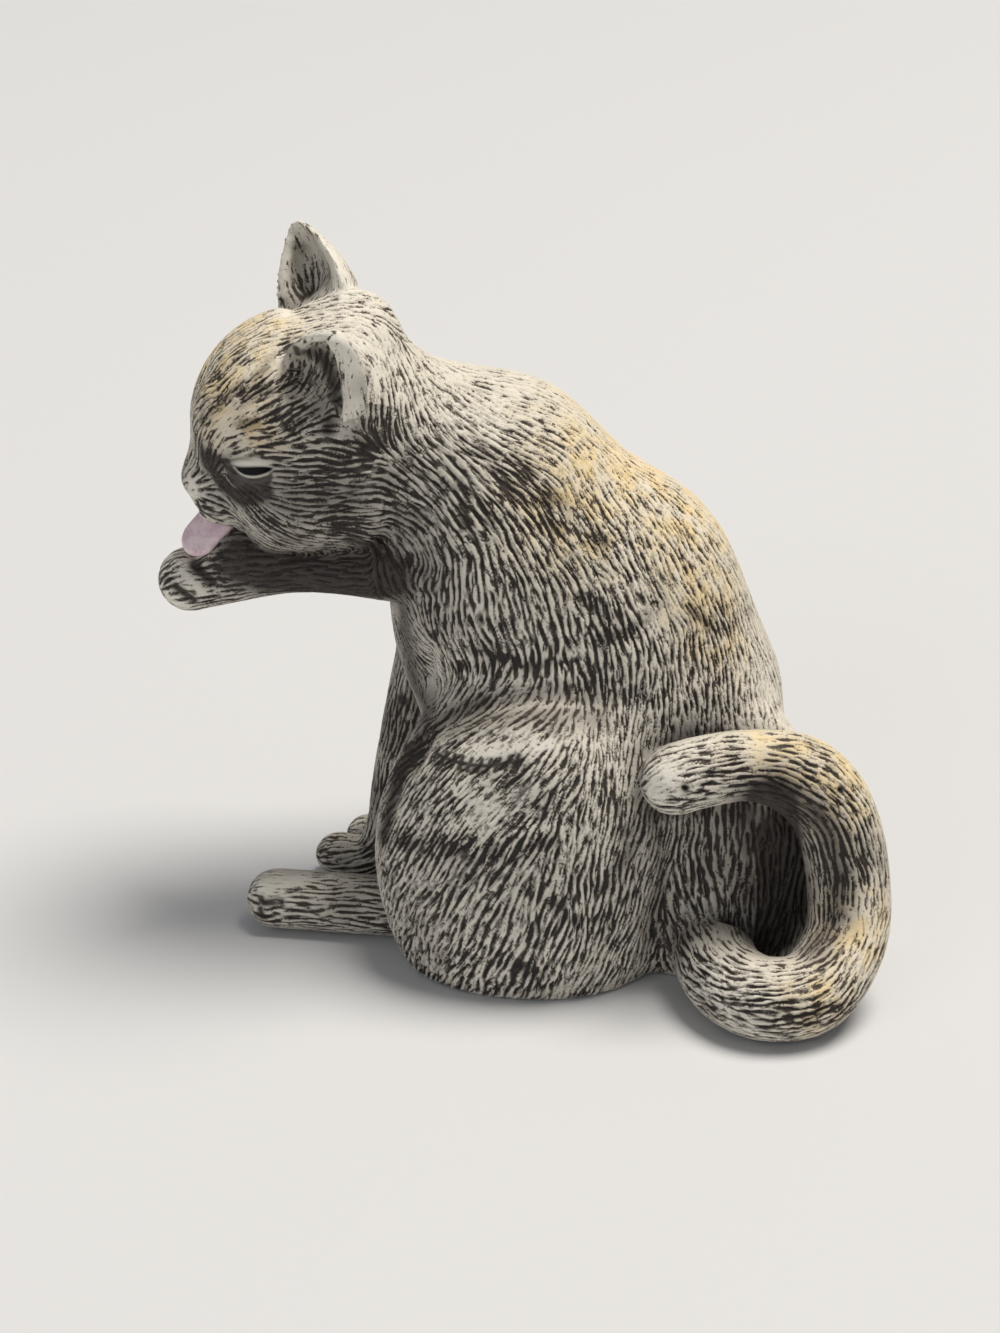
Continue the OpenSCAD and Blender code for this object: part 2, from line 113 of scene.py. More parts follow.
def mesh_from(name, points, *face_groups):
    """A mesh of points and of one or more arrays of faces, each array with its own number of sides."""
    mesh = bpy.data.meshes.new(name)
    groups = [group for group in face_groups if len(group)]
    corners = np.concatenate([group.ravel() for group in groups])
    sides = np.concatenate([np.full(len(group), group.shape[1]) for group in groups])
    mesh.vertices.add(len(points))
    mesh.loops.add(len(corners))
    mesh.polygons.add(len(sides))
    mesh.vertices.foreach_set("co", np.asarray(points, np.float32).ravel())
    mesh.loops.foreach_set("vertex_index", corners.astype(np.int32))
    mesh.polygons.foreach_set("loop_start", np.concatenate([[0], np.cumsum(sides)[:-1]]).astype(np.int32))
    mesh.update(calc_edges=True)
    return mesh


def worked(mesh, kind, **settings):
    """The points and the four-sided faces of a mesh after one of Blender's own tools."""
    blank = bpy.data.objects.new("blank", mesh)
    bpy.context.scene.collection.objects.link(blank)
    tool = blank.modifiers.new("tool", kind)
    for setting, value in settings.items():
        setattr(tool, setting, value)
    done = bpy.data.meshes.new_from_object(blank.evaluated_get(bpy.context.evaluated_depsgraph_get()))
    points = np.empty(len(done.vertices) * 3, np.float32)
    done.vertices.foreach_get("co", points)
    corners = np.empty(len(done.loops), np.int32)
    done.loops.foreach_get("vertex_index", corners)
    bpy.data.objects.remove(blank)
    bpy.data.meshes.remove(mesh)
    bpy.data.meshes.remove(done)
    return points.reshape(-1, 3).astype(float), corners.reshape(-1, 4)


def edges_of(faces, count):
    pairs = np.concatenate([faces[:, [k, (k + 1) % 4]] for k in range(4)]).astype(np.int64)
    pairs.sort(axis=1)
    keys = np.unique(pairs[:, 0] * count + pairs[:, 1])
    return np.stack([keys // count, keys % count], 1)


def spread_over(values, edges):
    """The mean of the neighbours' values, along the edges of a skin."""
    count = len(values)
    degree = np.bincount(edges.ravel(), minlength=count)
    total = [np.bincount(edges[:, 0], values[edges[:, 1], k], count)
             + np.bincount(edges[:, 1], values[edges[:, 0], k], count) for k in range(values.shape[1])]
    return np.stack(total, 1) / np.maximum(degree, 1)[:, None]


def normals_of(points, faces):
    across = np.cross(points[faces[:, 2]] - points[faces[:, 0]], points[faces[:, 3]] - points[faces[:, 1]])
    total = np.zeros_like(points)
    for side in range(4):
        for k in range(3):
            total[:, k] += np.bincount(faces[:, side], across[:, k], len(points))
    return total / np.maximum(np.linalg.norm(total, axis=1), 1e-12)[:, None]


def nearest_owner(points, tree, owners):
    return np.array([owners[tree.find_nearest(point)[2]] for point in points.tolist()])


blank_points, blank_faces, _ = joined(stone_nodes + ["left_eye", "right_eye"])
skin, quads = worked(mesh_from("blank", blank_points, blank_faces), "REMESH",
                     mode="VOXEL", voxel_size=skin_pitch, adaptivity=0)

# Only the outer skin is kept, not the walls of the bores inside it
edges = edges_of(quads, len(skin))
label = np.arange(len(skin))
while True:
    low = np.minimum(label[edges[:, 0]], label[edges[:, 1]])
    lower = label.copy()
    np.minimum.at(lower, edges[:, 0], low)
    np.minimum.at(lower, edges[:, 1], low)
    lower = lower[lower]
    if (lower == label).all():
        break
    label = lower
outer = label == np.bincount(label).argmax()
renumber = np.cumsum(outer) - 1
quads = renumber[quads[outer[quads].all(1)]]
skin = skin[outer]
edges = edges_of(quads, len(skin))

# The soft mould rounds everything off, the body most and the ears least. A list of nine numbers, here
# and below, has one for each of stone_nodes
solid_points, solid_faces, solid_owners = joined(stone_nodes)
solid_tree = BVHTree.FromPolygons(solid_points.tolist(), solid_faces.tolist())
softness = np.array([1.0, 0.6, 0.12, 0.12, 0.55, 0.5, 0.5, 0.5, 0.6])
joint_fade, joint_spread = 0.93, 1.6
pull_in, let_out, less_at_joints = 0.6, 0.52, 0.42
rounding_reach = 11
owner = nearest_owner(skin, solid_tree, solid_owners)
joint = np.zeros((len(skin), 1))
across = owner[edges[:, 0]] != owner[edges[:, 1]]
joint[edges[across].ravel()] = 1
joint[np.isin(owner, ear_ids)] = 0
soft = softness[owner][:, None]
rounds = round(rounding_reach / skin_pitch)
for _ in range(rounds):
    soft = spread_over(soft, edges)
    joint = np.maximum(joint * joint_fade, spread_over(joint, edges))
joint = np.clip(joint * joint_spread, 0, 1)
for _ in range(rounds):
    skin = skin + (spread_over(skin, edges) - skin) * soft * pull_in
    skin = skin - (spread_over(skin, edges) - skin) * soft * (let_out - less_at_joints * joint)


def divided(points, faces, pairs):
    """Splits every face in four; also gives the old point that each new point is nearest to."""
    count = len(points)
    keys = pairs[:, 0] * count + pairs[:, 1]
    beside = [np.sort(faces[:, [k, (k + 1) % 4]].astype(np.int64), axis=1) for k in range(4)]
    halves = [np.searchsorted(keys, side[:, 0] * count + side[:, 1]) + count for side in beside]
    centre = count + len(pairs) + np.arange(len(faces))
    quarters = [np.stack([faces[:, k], halves[k], centre, halves[k - 1]], 1) for k in range(4)]
    parents = np.concatenate([np.arange(count), pairs[:, 0], faces[:, 0]])
    finer = np.concatenate([points, points[pairs].mean(1), points[faces].mean(1)])
    return finer, np.concatenate(quarters), parents


# Stray specks of one casting inside another go to the one round them
own_vote = 0.1
for _ in range(4):
    votes = np.stack([spread_over((owner == number)[:, None] * 1.0, edges)[:, 0]
                      for number in range(len(stone_nodes))], 1)
    owner = (votes + own_vote * np.eye(len(stone_nodes))[owner]).argmax(1)
# No casting may touch itself at a single point, corner to corner across a face
for _ in range(8):
    for a, b in ((0, 1), (1, 0), (0, 3), (1, 2)):
        round_face = owner[quads]
        pinched = ((round_face[:, a] == round_face[:, a + 2]) & (round_face[:, b] != round_face[:, a])
                   & (round_face[:, (b + 2) % 4] != round_face[:, a]))
        owner[quads[pinched, b]] = round_face[pinched, a]
coarse_skin, coarse_quads, coarse_count = skin, quads, len(skin)
skin, quads, parent = divided(skin, quads, edges)
edges = edges_of(quads, len(skin))
for _ in range(2):
    skin = skin + (spread_over(skin, edges) - skin) * 0.6
    skin = skin - (spread_over(skin, edges) - skin) * 0.5
owner = owner[parent]
normals = normals_of(skin, quads)


def unit(vectors):
    vectors = np.asarray(vectors, float)
    return vectors / np.maximum(np.linalg.norm(vectors, axis=-1, keepdims=True), 1e-12)


skin_tree = BVHTree.FromPolygons(coarse_skin.tolist(), coarse_quads.tolist())


def seen(pixel):
    """Where the skin is seen at a pixel of the photograph, or nearest to it: the place, and the way out there."""
    x, y = (np.asarray(pixel, float) - photo_size / 2) / (pixels_per_mm * shot_distance)
    sight = shot_right * x - shot_up * y - shot_back
    place, normal, _, _ = skin_tree.ray_cast(shot_place.tolist(), unit(sight).tolist())
    if place is None:
        place, normal, _, _ = skin_tree.find_nearest((shot_place + sight * shot_distance).tolist())
    return np.array(place), np.array(normal)


# ---------------------------------------------------------------- The head
# A kitten's round head, bowed and leaning, part of the same pour. The modeller cut the eyelids, nose,
# lips and ear hollows into the clay, and they come out of the mould with it.
head_heart = np.array([-20.5, -4.5, 59.5])
head_turn, head_bow, head_lean = math.radians(15), math.radians(20), math.radians(12)
head_axes = np.array((Matrix.Rotation(head_turn, 3, "Z") @ Matrix.Rotation(-head_bow, 3, "Y")
                      @ Matrix.Rotation(head_lean, 3, "X")))


def other_side_of_head(points, is_way=False):
    local = (np.asarray(points) - (0 if is_way else head_heart)) @ head_axes
    local = local * [1, -1, 1]
    return local @ head_axes.T + (0 if is_way else head_heart)


def swell(place, radius, height):
    """Raises the skin in a soft round mound, or presses it in where the height is negative."""
    near = np.flatnonzero((abs(skin - place) < radius).all(1))
    away = np.clip(np.linalg.norm(skin[near] - place, axis=1) / radius, 0, 1)
    skin[near] += normals[near] * (height * (1 - away ** 2) ** 2)[:, None]


def line_distance(points, path):
    """How far points lie from a line through places, and how far along it, from 0 to 1."""
    path = np.asarray(path, float)
    lengths = np.linalg.norm(np.diff(path, axis=0), axis=1)
    starts = np.concatenate([[0], np.cumsum(lengths)])
    best, share = np.full(len(points), 1e9), np.zeros(len(points))
    for k, length in enumerate(lengths):
        way = (path[k + 1] - path[k]) / max(length, 1e-9)
        t = np.clip((points - path[k]) @ way, 0, length)
        away = np.linalg.norm(points - path[k] - t[:, None] * way, axis=1)
        nearer = away < best
        best[nearer] = away[nearer]
        share[nearer] = (starts[k] + t[nearer]) / starts[-1]
    return best, share


def score(path, out, width, depth, taper=0.25):
    """Presses a soft groove into the side of the skin that faces out; a negative depth raises a ridge."""
    near = np.flatnonzero(((skin > path.min(0) - width * 3) & (skin < path.max(0) + width * 3)).all(1))
    away, share = line_distance(skin[near], path)
    ends = np.clip(np.minimum(share, 1 - share) / max(taper, 1e-6), 0, 1) ** 0.5
    facing = np.clip(normals[near] @ out + 0.4, 0, 1)
    skin[near] -= normals[near] * (depth * ends * facing * np.exp(-(away / width) ** 2))[:, None]


def line_on_skin(pixels):
    """The places along a line of the photograph's pixels, and the way that the skin faces there."""
    found = [seen(pixel) for pixel in pixels]
    return np.array([hit[0] for hit in found]), unit(sum(hit[1] for hit in found))


# The muzzle, the mouth, the hollow by the eye and the rims and hollows of the ears
head_swells = [
    ((212, 509), 2.4, 0.45), ((216, 463), 1.9, -0.5), ((232, 520), 2.6, 0.3), ((300, 520), 6.0, 0.5),
    ((238, 486), 2.2, 0.25), ((366, 368), 2.8, 0.4),
]
for pixel, radius, height in head_swells:
    place = seen(pixel)[0]
    swell(place, radius, height)
    swell(other_side_of_head(place), radius, height)
head_lines = [
    ([(196, 500), (200, 508), (207, 514), (220, 520)], 0.32, 0.5), ([(189, 503), (197, 504)], 0.4, 0.45),
    ([(207, 470), (212, 486), (222, 500)], 0.6, 0.3), ([(228, 472), (218, 484), (211, 493)], 0.3, 0.2),
    ([(316, 340), (335, 340), (350, 355), (357, 380), (357, 405), (350, 428)], 1.0, -1.0),
    ([(308, 350), (324, 354), (335, 371), (338, 398), (334, 425)], 1.0, 1.1),
    ([(286, 372), (306, 388), (322, 410)], 2.2, 0.9), ([(283, 300), (285, 270), (296, 234)], 0.6, -0.35),
    ([(301, 245), (306, 270), (312, 292)], 1.1, 0.5), ([(378, 405), (372, 440), (360, 470)], 1.6, 0.5),
]
for pixels, width, depth in head_lines:
    path, out = line_on_skin(pixels)
    score(path, out, width, depth)
    if width < 1.2 and depth > 0:
        score(other_side_of_head(path), other_side_of_head(out, True), width, depth)


# The comb: hair by hair directions that the modeller's tool took, read off the photograph
body_comb_pixels = [
    (409, 369, 423, 395), (425, 395, 432, 425), (432, 425, 440, 450), (469, 381, 518, 395),
    (440, 372, 470, 390), (479, 409, 528, 433), (499, 441, 544, 460), (538, 429, 588, 457),
    (578, 421, 627, 457), (597, 468, 637, 514), (637, 468, 673, 508), (578, 508, 617, 557),
    (518, 508, 552, 547), (479, 484, 514, 520), (449, 458, 483, 480), (429, 488, 459, 508),
    (459, 508, 475, 538), (404, 500, 429, 512), (429, 512, 455, 538), (455, 538, 467, 563),
    (491, 557, 506, 607), (528, 553, 558, 607), (578, 543, 603, 587), (623, 537, 647, 587),
    (657, 528, 676, 567), (538, 607, 548, 638), (475, 567, 469, 638), (449, 607, 445, 638),
    (410, 597, 420, 627), (681, 496, 710, 534), (717, 530, 739, 566), (669, 530, 696, 578),
    (705, 578, 725, 627), (744, 578, 761, 627), (754, 639, 773, 699), (717, 639, 730, 687),
    (657, 602, 676, 651), (620, 602, 640, 651), (596, 639, 608, 687), (657, 663, 666, 711),
    (693, 675, 696, 719), (572, 663, 579, 711), (482, 645, 494, 680), (544, 645, 549, 690),
    (606, 645, 619, 707), (631, 707, 629, 769), (594, 707, 589, 769), (564, 702, 544, 759),
    (532, 707, 499, 749), (494, 712, 452, 749), (457, 739, 420, 774), (432, 754, 395, 799),
    (407, 794, 382, 844), (445, 807, 415, 839), (482, 794, 452, 834), (519, 794, 489, 834),
    (569, 782, 549, 831), (594, 794, 579, 856), (619, 794, 609, 856), (644, 831, 634, 894),
    (420, 856, 395, 906), (457, 869, 432, 914), (494, 869, 469, 914), (524, 869, 499, 919),
    (559, 881, 539, 931), (589, 881, 574, 943), (619, 881, 606, 943), (445, 919, 427, 956),
    (474, 931, 457, 968), (519, 943, 502, 981), (569, 956, 557, 988), (631, 943, 619, 976),
    (407, 645, 395, 720), (402, 730, 395, 780), (756, 704, 761, 727), (678, 704, 678, 733),
    (613, 745, 609, 800), (627, 756, 624, 812), (645, 834, 629, 879), (678, 823, 674, 879),
    (707, 825, 705, 879), (734, 825, 732, 901), (689, 890, 696, 934), (696, 934, 716, 979),
    (716, 901, 725, 945), (725, 945, 743, 986), (403, 616, 414, 634),
]
head_comb_pixels = [
    (198, 378, 209, 348), (209, 348, 230, 325), (203, 405, 239, 352), (239, 352, 275, 328),
    (275, 328, 328, 314), (230, 393, 257, 371), (257, 371, 286, 348), (250, 325, 293, 309),
    (293, 309, 328, 307), (328, 307, 364, 321), (364, 321, 400, 352), (328, 300, 364, 300),
    (364, 300, 391, 314), (364, 336, 382, 361), (382, 361, 391, 396), (391, 396, 400, 432),
    (355, 361, 373, 379), (400, 361, 414, 396), (414, 396, 418, 432), (373, 396, 364, 441),
    (391, 405, 391, 450), (271, 465, 311, 479), (311, 479, 355, 479), (250, 491, 275, 509),
    (275, 509, 303, 520), (239, 506, 257, 525), (257, 525, 284, 536), (275, 488, 311, 495),
    (311, 495, 346, 495), (275, 527, 311, 548), (311, 548, 346, 559), (311, 513, 346, 514),
    (346, 514, 391, 513), (328, 536, 382, 543), (346, 500, 382, 497), (382, 497, 418, 498),
    (337, 450, 418, 466), (196, 490, 202, 470), (204, 500, 221, 513), (221, 513, 243, 517),
    (230, 455, 275, 450), (250, 438, 293, 431), (205, 450, 207, 425), (207, 425, 225, 400),
    (300, 400, 320, 385), (280, 420, 310, 410),
]


longest_pass = 12


def comb_on_skin(pixels):
    """Where the comb passes on the skin, and which way it goes there."""
    hits = [(seen((x0, y0))[0], seen((x1, y1))[0]) for x0, y0, x1, y1 in pixels]
    return [(start, end - start) for start, end in hits if np.linalg.norm(end - start) < longest_pass]


body_comb, head_comb = comb_on_skin(body_comb_pixels), comb_on_skin(head_comb_pixels)

# The hair on the chest, the belly and behind the tail, which the photograph doesn't show
body_comb += [(np.array(place, float), np.array(way, float)) for place, way in [
    ((-17, 0, 44), (0.2, 0, -1)), ((-16, -6, 38), (0.1, 0, -1)), ((-16, 6, 38), (0.1, 0, -1)),
    ((-11, 0, 32), (0.1, 0, -1)), ((-10, 0, 22), (0, 0, -1)), ((-9, 0, 10), (0, 0, -1)),
    ((31, 0, 20), (0.3, 0, -1)), ((30, 5, 10), (0, 0, -1)), ((33, -8, 22), (0.2, -0.2, -1)),
    ((30, 0, 35), (0.3, 0, -1)), ((37, -8, 12), (0, -0.2, -1)), ((24, 12, 8), (0, 0, -1))]]
body_comb += [(place * [1, -1, 1], way * [1, -1, 1]) for place, way in body_comb]
head_comb += [(other_side_of_head(place), other_side_of_head(way, True)) for place, way in head_comb]

# The eyes: each has an inner and an outer corner, and the lids between them leave a slit open.
# The eyeball lies just under the lids, and shows black in the slit
eye_corner_pixels = [(233, 466), (272, 467)]
near_corners = np.array([seen(pixel)[0] for pixel in eye_corner_pixels])
slit_reach = 4.0
upper_arch, lower_drop, slit_edge = 0.12, 0.8, 0.22
# Each lid's ridge: its distance from the slit, its width and its height
over_lid, under_lid = (0.5, 0.36, 0.42), (0.16, 0.15, 0.22)
behind_ball, over_ball = 0.45, 0.14
lid_paint = np.zeros(len(skin))
slit_paint = np.zeros(len(skin))
bare = np.zeros(len(skin))


def cut_eye(corners, eyeball):
    """Raises the lids over an eyeball, opens the slit between them and paints the lids pale."""
    low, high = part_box(eyeball)
    ball = (np.array(low) + np.array(high)) * 500
    radius = (high.x - low.x) * 500
    middle = corners.mean(0)
    out = unit(middle - ball)
    along = unit((corners[1] - corners[0]) - out * ((corners[1] - corners[0]) @ out))
    up = np.cross(out, along)
    up = up * np.sign(up @ head_axes[:, 2])
    half = np.linalg.norm(corners[1] - corners[0]) / 2
    near = np.flatnonzero((np.linalg.norm(skin - middle, axis=1) < slit_reach))
    offset = skin[near] - middle
    s, t = offset @ along / half, offset @ up
    arch = np.clip(1 - s ** 2, 0, 1)
    upper = upper_arch * arch - upper_arch
    lower = -lower_drop * np.clip(1 - (s - 0.1) ** 2 * 1.15, 0, 1) ** 0.8
    open_share = np.clip(np.minimum(upper - t, t - lower) / slit_edge + 0.1, 0, 1) * (arch > 0)
    lid_over = np.exp(-((t - upper - over_lid[0]) / over_lid[1]) ** 2) * np.clip(1.25 - s ** 2, 0, 1)
    lid_under = np.exp(-((t - lower + under_lid[0]) / under_lid[1]) ** 2) * np.clip(1.05 - s ** 2, 0, 1) ** 0.5
    lift = over_lid[2] * lid_over + under_lid[2] * lid_under
    skin[near] += out * lift[:, None]
    # The open part goes behind the face of the eyeball
    height = (skin[near] - ball) @ out
    beside = np.linalg.norm((skin[near] - ball) - out * height[:, None], axis=1)
    face = np.sqrt(np.clip(radius ** 2 - beside ** 2, 0, None))
    target = np.minimum(height, np.maximum(face, 0.2) - behind_ball)
    cover = np.where(beside < radius * 0.97, np.maximum(height, face + over_ball), height)
    skin[near] += out * ((target - height) * open_share + (cover - height) * (1 - open_share))[:, None]
    pale = np.maximum(lid_over * 0.8, lid_under * 0.85) * (open_share < 0.5)
    lid_paint[near] = np.maximum(lid_paint[near], pale)
    slit_paint[near] = np.maximum(slit_paint[near], np.exp(-np.clip(np.maximum(t - upper, lower - t), 0, 9) / 0.1)
                                  * (abs(s) < 1.12))
    round_eye = ((s + 0.35) / 1.35) ** 2 + ((t + 0.9) / 2.0) ** 2
    bare[near] = np.maximum(bare[near], np.clip((1.15 - round_eye) / 0.9, 0, 1))


cut_eye(near_corners, "left_eye")
cut_eye(other_side_of_head(near_corners), "right_eye")
normals = normals_of(skin, quads)


# ---------------------------------------------------------------- The body's folds and the toes
# The modeller pressed the folds of the haunch, the neck and the tail's root into the clay with a thumb,
# and cut the toes apart with the edge of a blade.
body_swells = [
    ((412, 752), 3.6, -1.0), ((545, 752), 8.0, 0.7), ((455, 790), 7.0, 0.5), ((410, 566), 3.4, -0.9),
    ((430, 700), 1.6, 0.3), ((395, 600), 2.5, -0.5), ((685, 788), 0.5, -0.4), ((840, 790), 0.45, -0.3),
    ((770, 875), 5.0, -0.8), ((328, 835), 1.2, 0.35), ((352, 821), 1.2, 0.35), ((262, 884), 1.8, 0.3),
    ((262, 915), 1.6, 0.25), ((180, 560), 1.6, 0.3), ((172, 585), 1.8, 0.3), ((237, 548), 5.0, 2.6),
    ((262, 552), 5.0, 1.4),
]
body_lines = [
    ([(382, 838), (392, 800), (404, 766), (422, 739), (450, 718), (485, 705), (540, 698), (605, 702)], 1.6, 0.95),
    ([(433, 640), (428, 680), (431, 722)], 0.8, 0.5), ([(397, 592), (437, 602)], 0.6, 0.4),
    ([(650, 978), (656, 930), (668, 885), (682, 840)], 1.8, 0.8),
    ([(445, 480), (430, 520), (405, 545)], 1.6, 0.5), ([(160, 566), (176, 586), (194, 600)], 0.5, 0.55),
    ([(176, 548), (195, 566), (212, 582)], 0.6, 0.5), ([(247, 902), (264, 903), (282, 902)], 0.5, 0.55),
    ([(336, 838), (342, 824), (350, 812)], 0.4, 0.35), ([(318, 850), (325, 826), (338, 812)], 0.35, 0.25),
]
for pixel, radius, height in body_swells:
    place = seen(pixel)[0]
    swell(place, radius, height)
    swell(place * [1, -1, 1], radius, height * 0.8)
for pixels, width, depth in body_lines:
    path, out = line_on_skin(pixels)
    score(path, out, width, depth)
    score(path * [1, -1, 1], out * [1, -1, 1], width, depth)
normals = normals_of(skin, quads)
skin_tree = BVHTree.FromPolygons(skin[:coarse_count].tolist(), coarse_quads.tolist())


# ---------------------------------------------------------------- The fur
# The modeller scored the fur into the clay with short strokes of a blunt tool, staggered like bricks,
# and they came out of the mould as grooves. A dark wash was left in them and rubbed off the ridges.
fur_seed = np.random.default_rng(7)
tail_course = np.array([
    (25.5, -14.5, 4.7), (27.6, -21.6, 4.3), (31.7, -24.9, 4.3), (36.8, -23.5, 4.8), (39.8, -18.1, 8.2),
    (39.8, -15.5, 13.9), (38.0, -14.6, 21.3), (34.3, -15.3, 25.9), (29.0, -16.5, 27.5), (24.2, -17.6, 27.0),
    (20.0, -18.6, 26.0)])
raised_leg_course = np.array([(-10, -10, 44.5), (-20, -7.5, 43.5), (-28, -6.3, 41.8), (-36, -5.5, 39.5)])
standing_leg_course = np.array([(-8.7, 4.1, 28.2), (-10.4, 4, 21), (-12.1, 3.8, 12.8), (-13.1, 3.6, 6.4),
                                (-15.5, 3.5, 2.8), (-24, 3.5, 2)])
courses = {"raised_foreleg": raised_leg_course, "standing_foreleg": standing_leg_course, "tail": tail_course,
           "left_hind_foot": np.array([(-8, -9.4, 3.6), (-30, -9.4, 3.0)]),
           "right_hind_foot": np.array([(-8, 9, 2.4), (-30, 9, 2.0)])}


def combed(points, comb, reach):
    """The way of the comb at each point: that of the nearest passes, mixed over a reach."""
    places = np.array([place for place, _ in comb])
    ways = unit(np.array([way for _, way in comb]))
    total = np.zeros_like(points)
    for start in range(0, len(points), 8000):
        part = points[start:start + 8000]
        square = ((part[:, None, :] - places[None]) ** 2).sum(2)
        total[start:start + 8000] = np.exp(-(square - square.min(1, keepdims=True)) / (2 * reach ** 2)) @ ways
    return unit(total)


course_steps = 12


def along_course(points, course):
    """The way that a leg or the tail runs at the place on its course that is nearest to each point."""
    steps = [np.linspace(course[k], course[k + 1], course_steps, endpoint=False) for k in range(len(course) - 1)]
    fine = np.concatenate(steps + [course[-1:]])
    for _ in range(course_steps):
        fine[1:-1] = (fine[:-2] + fine[2:]) / 2
    ways = unit(np.gradient(fine, axis=0))
    nearest = [np.argmin(((points[start:start + 8000, None, :] - fine[None]) ** 2).sum(2), axis=1)
               for start in range(0, len(points), 8000)]
    return ways[np.concatenate(nearest)]


coarse, coarse_owner = skin[:coarse_count], owner[:coarse_count]
lay = np.zeros_like(coarse)
body_comb_reach, head_comb_reach = 2.6, 1.8
of_torso, of_head = coarse_owner == torso_id, coarse_owner == head_id
lay[of_torso] = combed(coarse[of_torso], body_comb, body_comb_reach)
lay[of_head] = combed(coarse[of_head], head_comb, head_comb_reach)
for ear in ear_ids:
    of_ear = coarse_owner == ear
    tip = coarse[of_ear][coarse[of_ear][:, 2].argmax()]
    lay[of_ear] = unit(tip - coarse[of_ear].mean(0))
for node, course in courses.items():
    of_limb = coarse_owner == stone_nodes.index(node)
    lay[of_limb] = along_course(coarse[of_limb], course)
lay = lay[parent]
wander = fur_seed.standard_normal((len(skin), 1))
wander_angle, comb_rounds = math.radians(6), 36
for _ in range(comb_rounds):
    lay = lay + spread_over(lay, edges)
    lay -= normals * (lay * normals).sum(1, keepdims=True)
    lay = unit(lay)
    wander = spread_over(spread_over(wander, edges), edges)
wander = wander / wander.std() * wander_angle
lay = unit(lay + np.cross(normals, lay) * np.tan(wander.clip(-0.5, 0.5)))

# Where the clay was left smooth: the base, the paws' soles and tips, the lids and the worn places
worn_pixels = [
    (225, 425, 3.0), (268, 363, 2.0), (360, 350, 2.4), (372, 380, 1.6), (569, 512, 1.6), (495, 756, 2.0),
    (530, 750, 2.0), (862, 920, 3.0), (760, 745, 2.4), (480, 810, 2.6), (260, 885, 2.4), (665, 785, 2.2),
    (655, 620, 2.2),
]
head_reach = 17.0


def both_sides(places):
    """Places on the side that the photograph shows, and the same ones on the body's or head's other side."""
    on_head = np.linalg.norm(np.reshape(places, (-1, 3)).mean(0) - head_heart) < head_reach
    return places, other_side_of_head(places) if on_head else places * [1, -1, 1]


def near_patches(patches):
    """How near the skin is to round patches on both sides; each is a pixel, a radius and a strength."""
    nearness = np.zeros(len(skin))
    for x, y, radius, strength in patches:
        for place in both_sides(seen((x, y))[0]):
            away = np.linalg.norm(skin - place, axis=1)
            nearness = np.maximum(nearness, strength * np.exp(-(away / radius) ** 2))
    return nearness


def near_lines(lines, mirrored=True):
    """How near the skin is to lines; each is a list of pixels, a width and a strength."""
    nearness = np.zeros(len(skin))
    for pixels, width, strength in lines:
        line, _ = line_on_skin(pixels)
        reach = 6 * width
        for path in both_sides(line) if mirrored else [line]:
            near = np.flatnonzero(((skin > path.min(0) - reach) & (skin < path.max(0) + reach)).all(1))
            away, _ = line_distance(skin[near], path)
            nearness[near] = np.maximum(nearness[near], np.clip(strength * np.exp(-(away / width) ** 2), 0, 1))
    return nearness


rub_lines_pixels = [
    ([(312, 340), (334, 339), (348, 354), (354, 380), (353, 405), (347, 427)], 1.2),
    ([(283, 312), (280, 290), (283, 270), (288, 250), (297, 228), (306, 222)], 0.9),
    ([(470, 762), (500, 753), (549, 745)], 0.6), ([(239, 378), (268, 363), (300, 349)], 0.9),
    ([(168, 556), (186, 576), (203, 592)], 0.55), ([(157, 580), (168, 597), (186, 606)], 0.6),
    ([(305, 222), (325, 250), (345, 285)], 1.3), ([(290, 240), (300, 262)], 1.0),
    ([(430, 682), (430, 714)], 0.45), ([(191, 483), (194, 491), (192, 499)], 0.7),
    ([(655, 792), (668, 776)], 1.4), ([(250, 885), (300, 880)], 1.0), ([(207, 518), (226, 523)], 0.45),
    ([(225, 425), (245, 412)], 1.6),
]
worn_strength, rub_strength = 0.6, 1.25
worn = np.maximum(near_patches([(*patch, worn_strength) for patch in worn_pixels]),
                  near_lines([(*line, rub_strength) for line in rub_lines_pixels], mirrored=False))
# A painted highlight, partly wash rubbed off the tops: faces turned up and to the right, towards the main lamp,
# are lighter and keep less wash
highlight_way = unit([0.45, 0.0, 0.9])
rub_and_highlight = np.clip(normals @ highlight_way, 0, 1) ** 1.5
underside = np.clip((-normals[:, 2] - 0.75) / 0.15, 0, 1) * (skin[:, 2] < 2)
smooth = np.maximum.reduce([worn * 0.8, bare, lid_paint, underside])

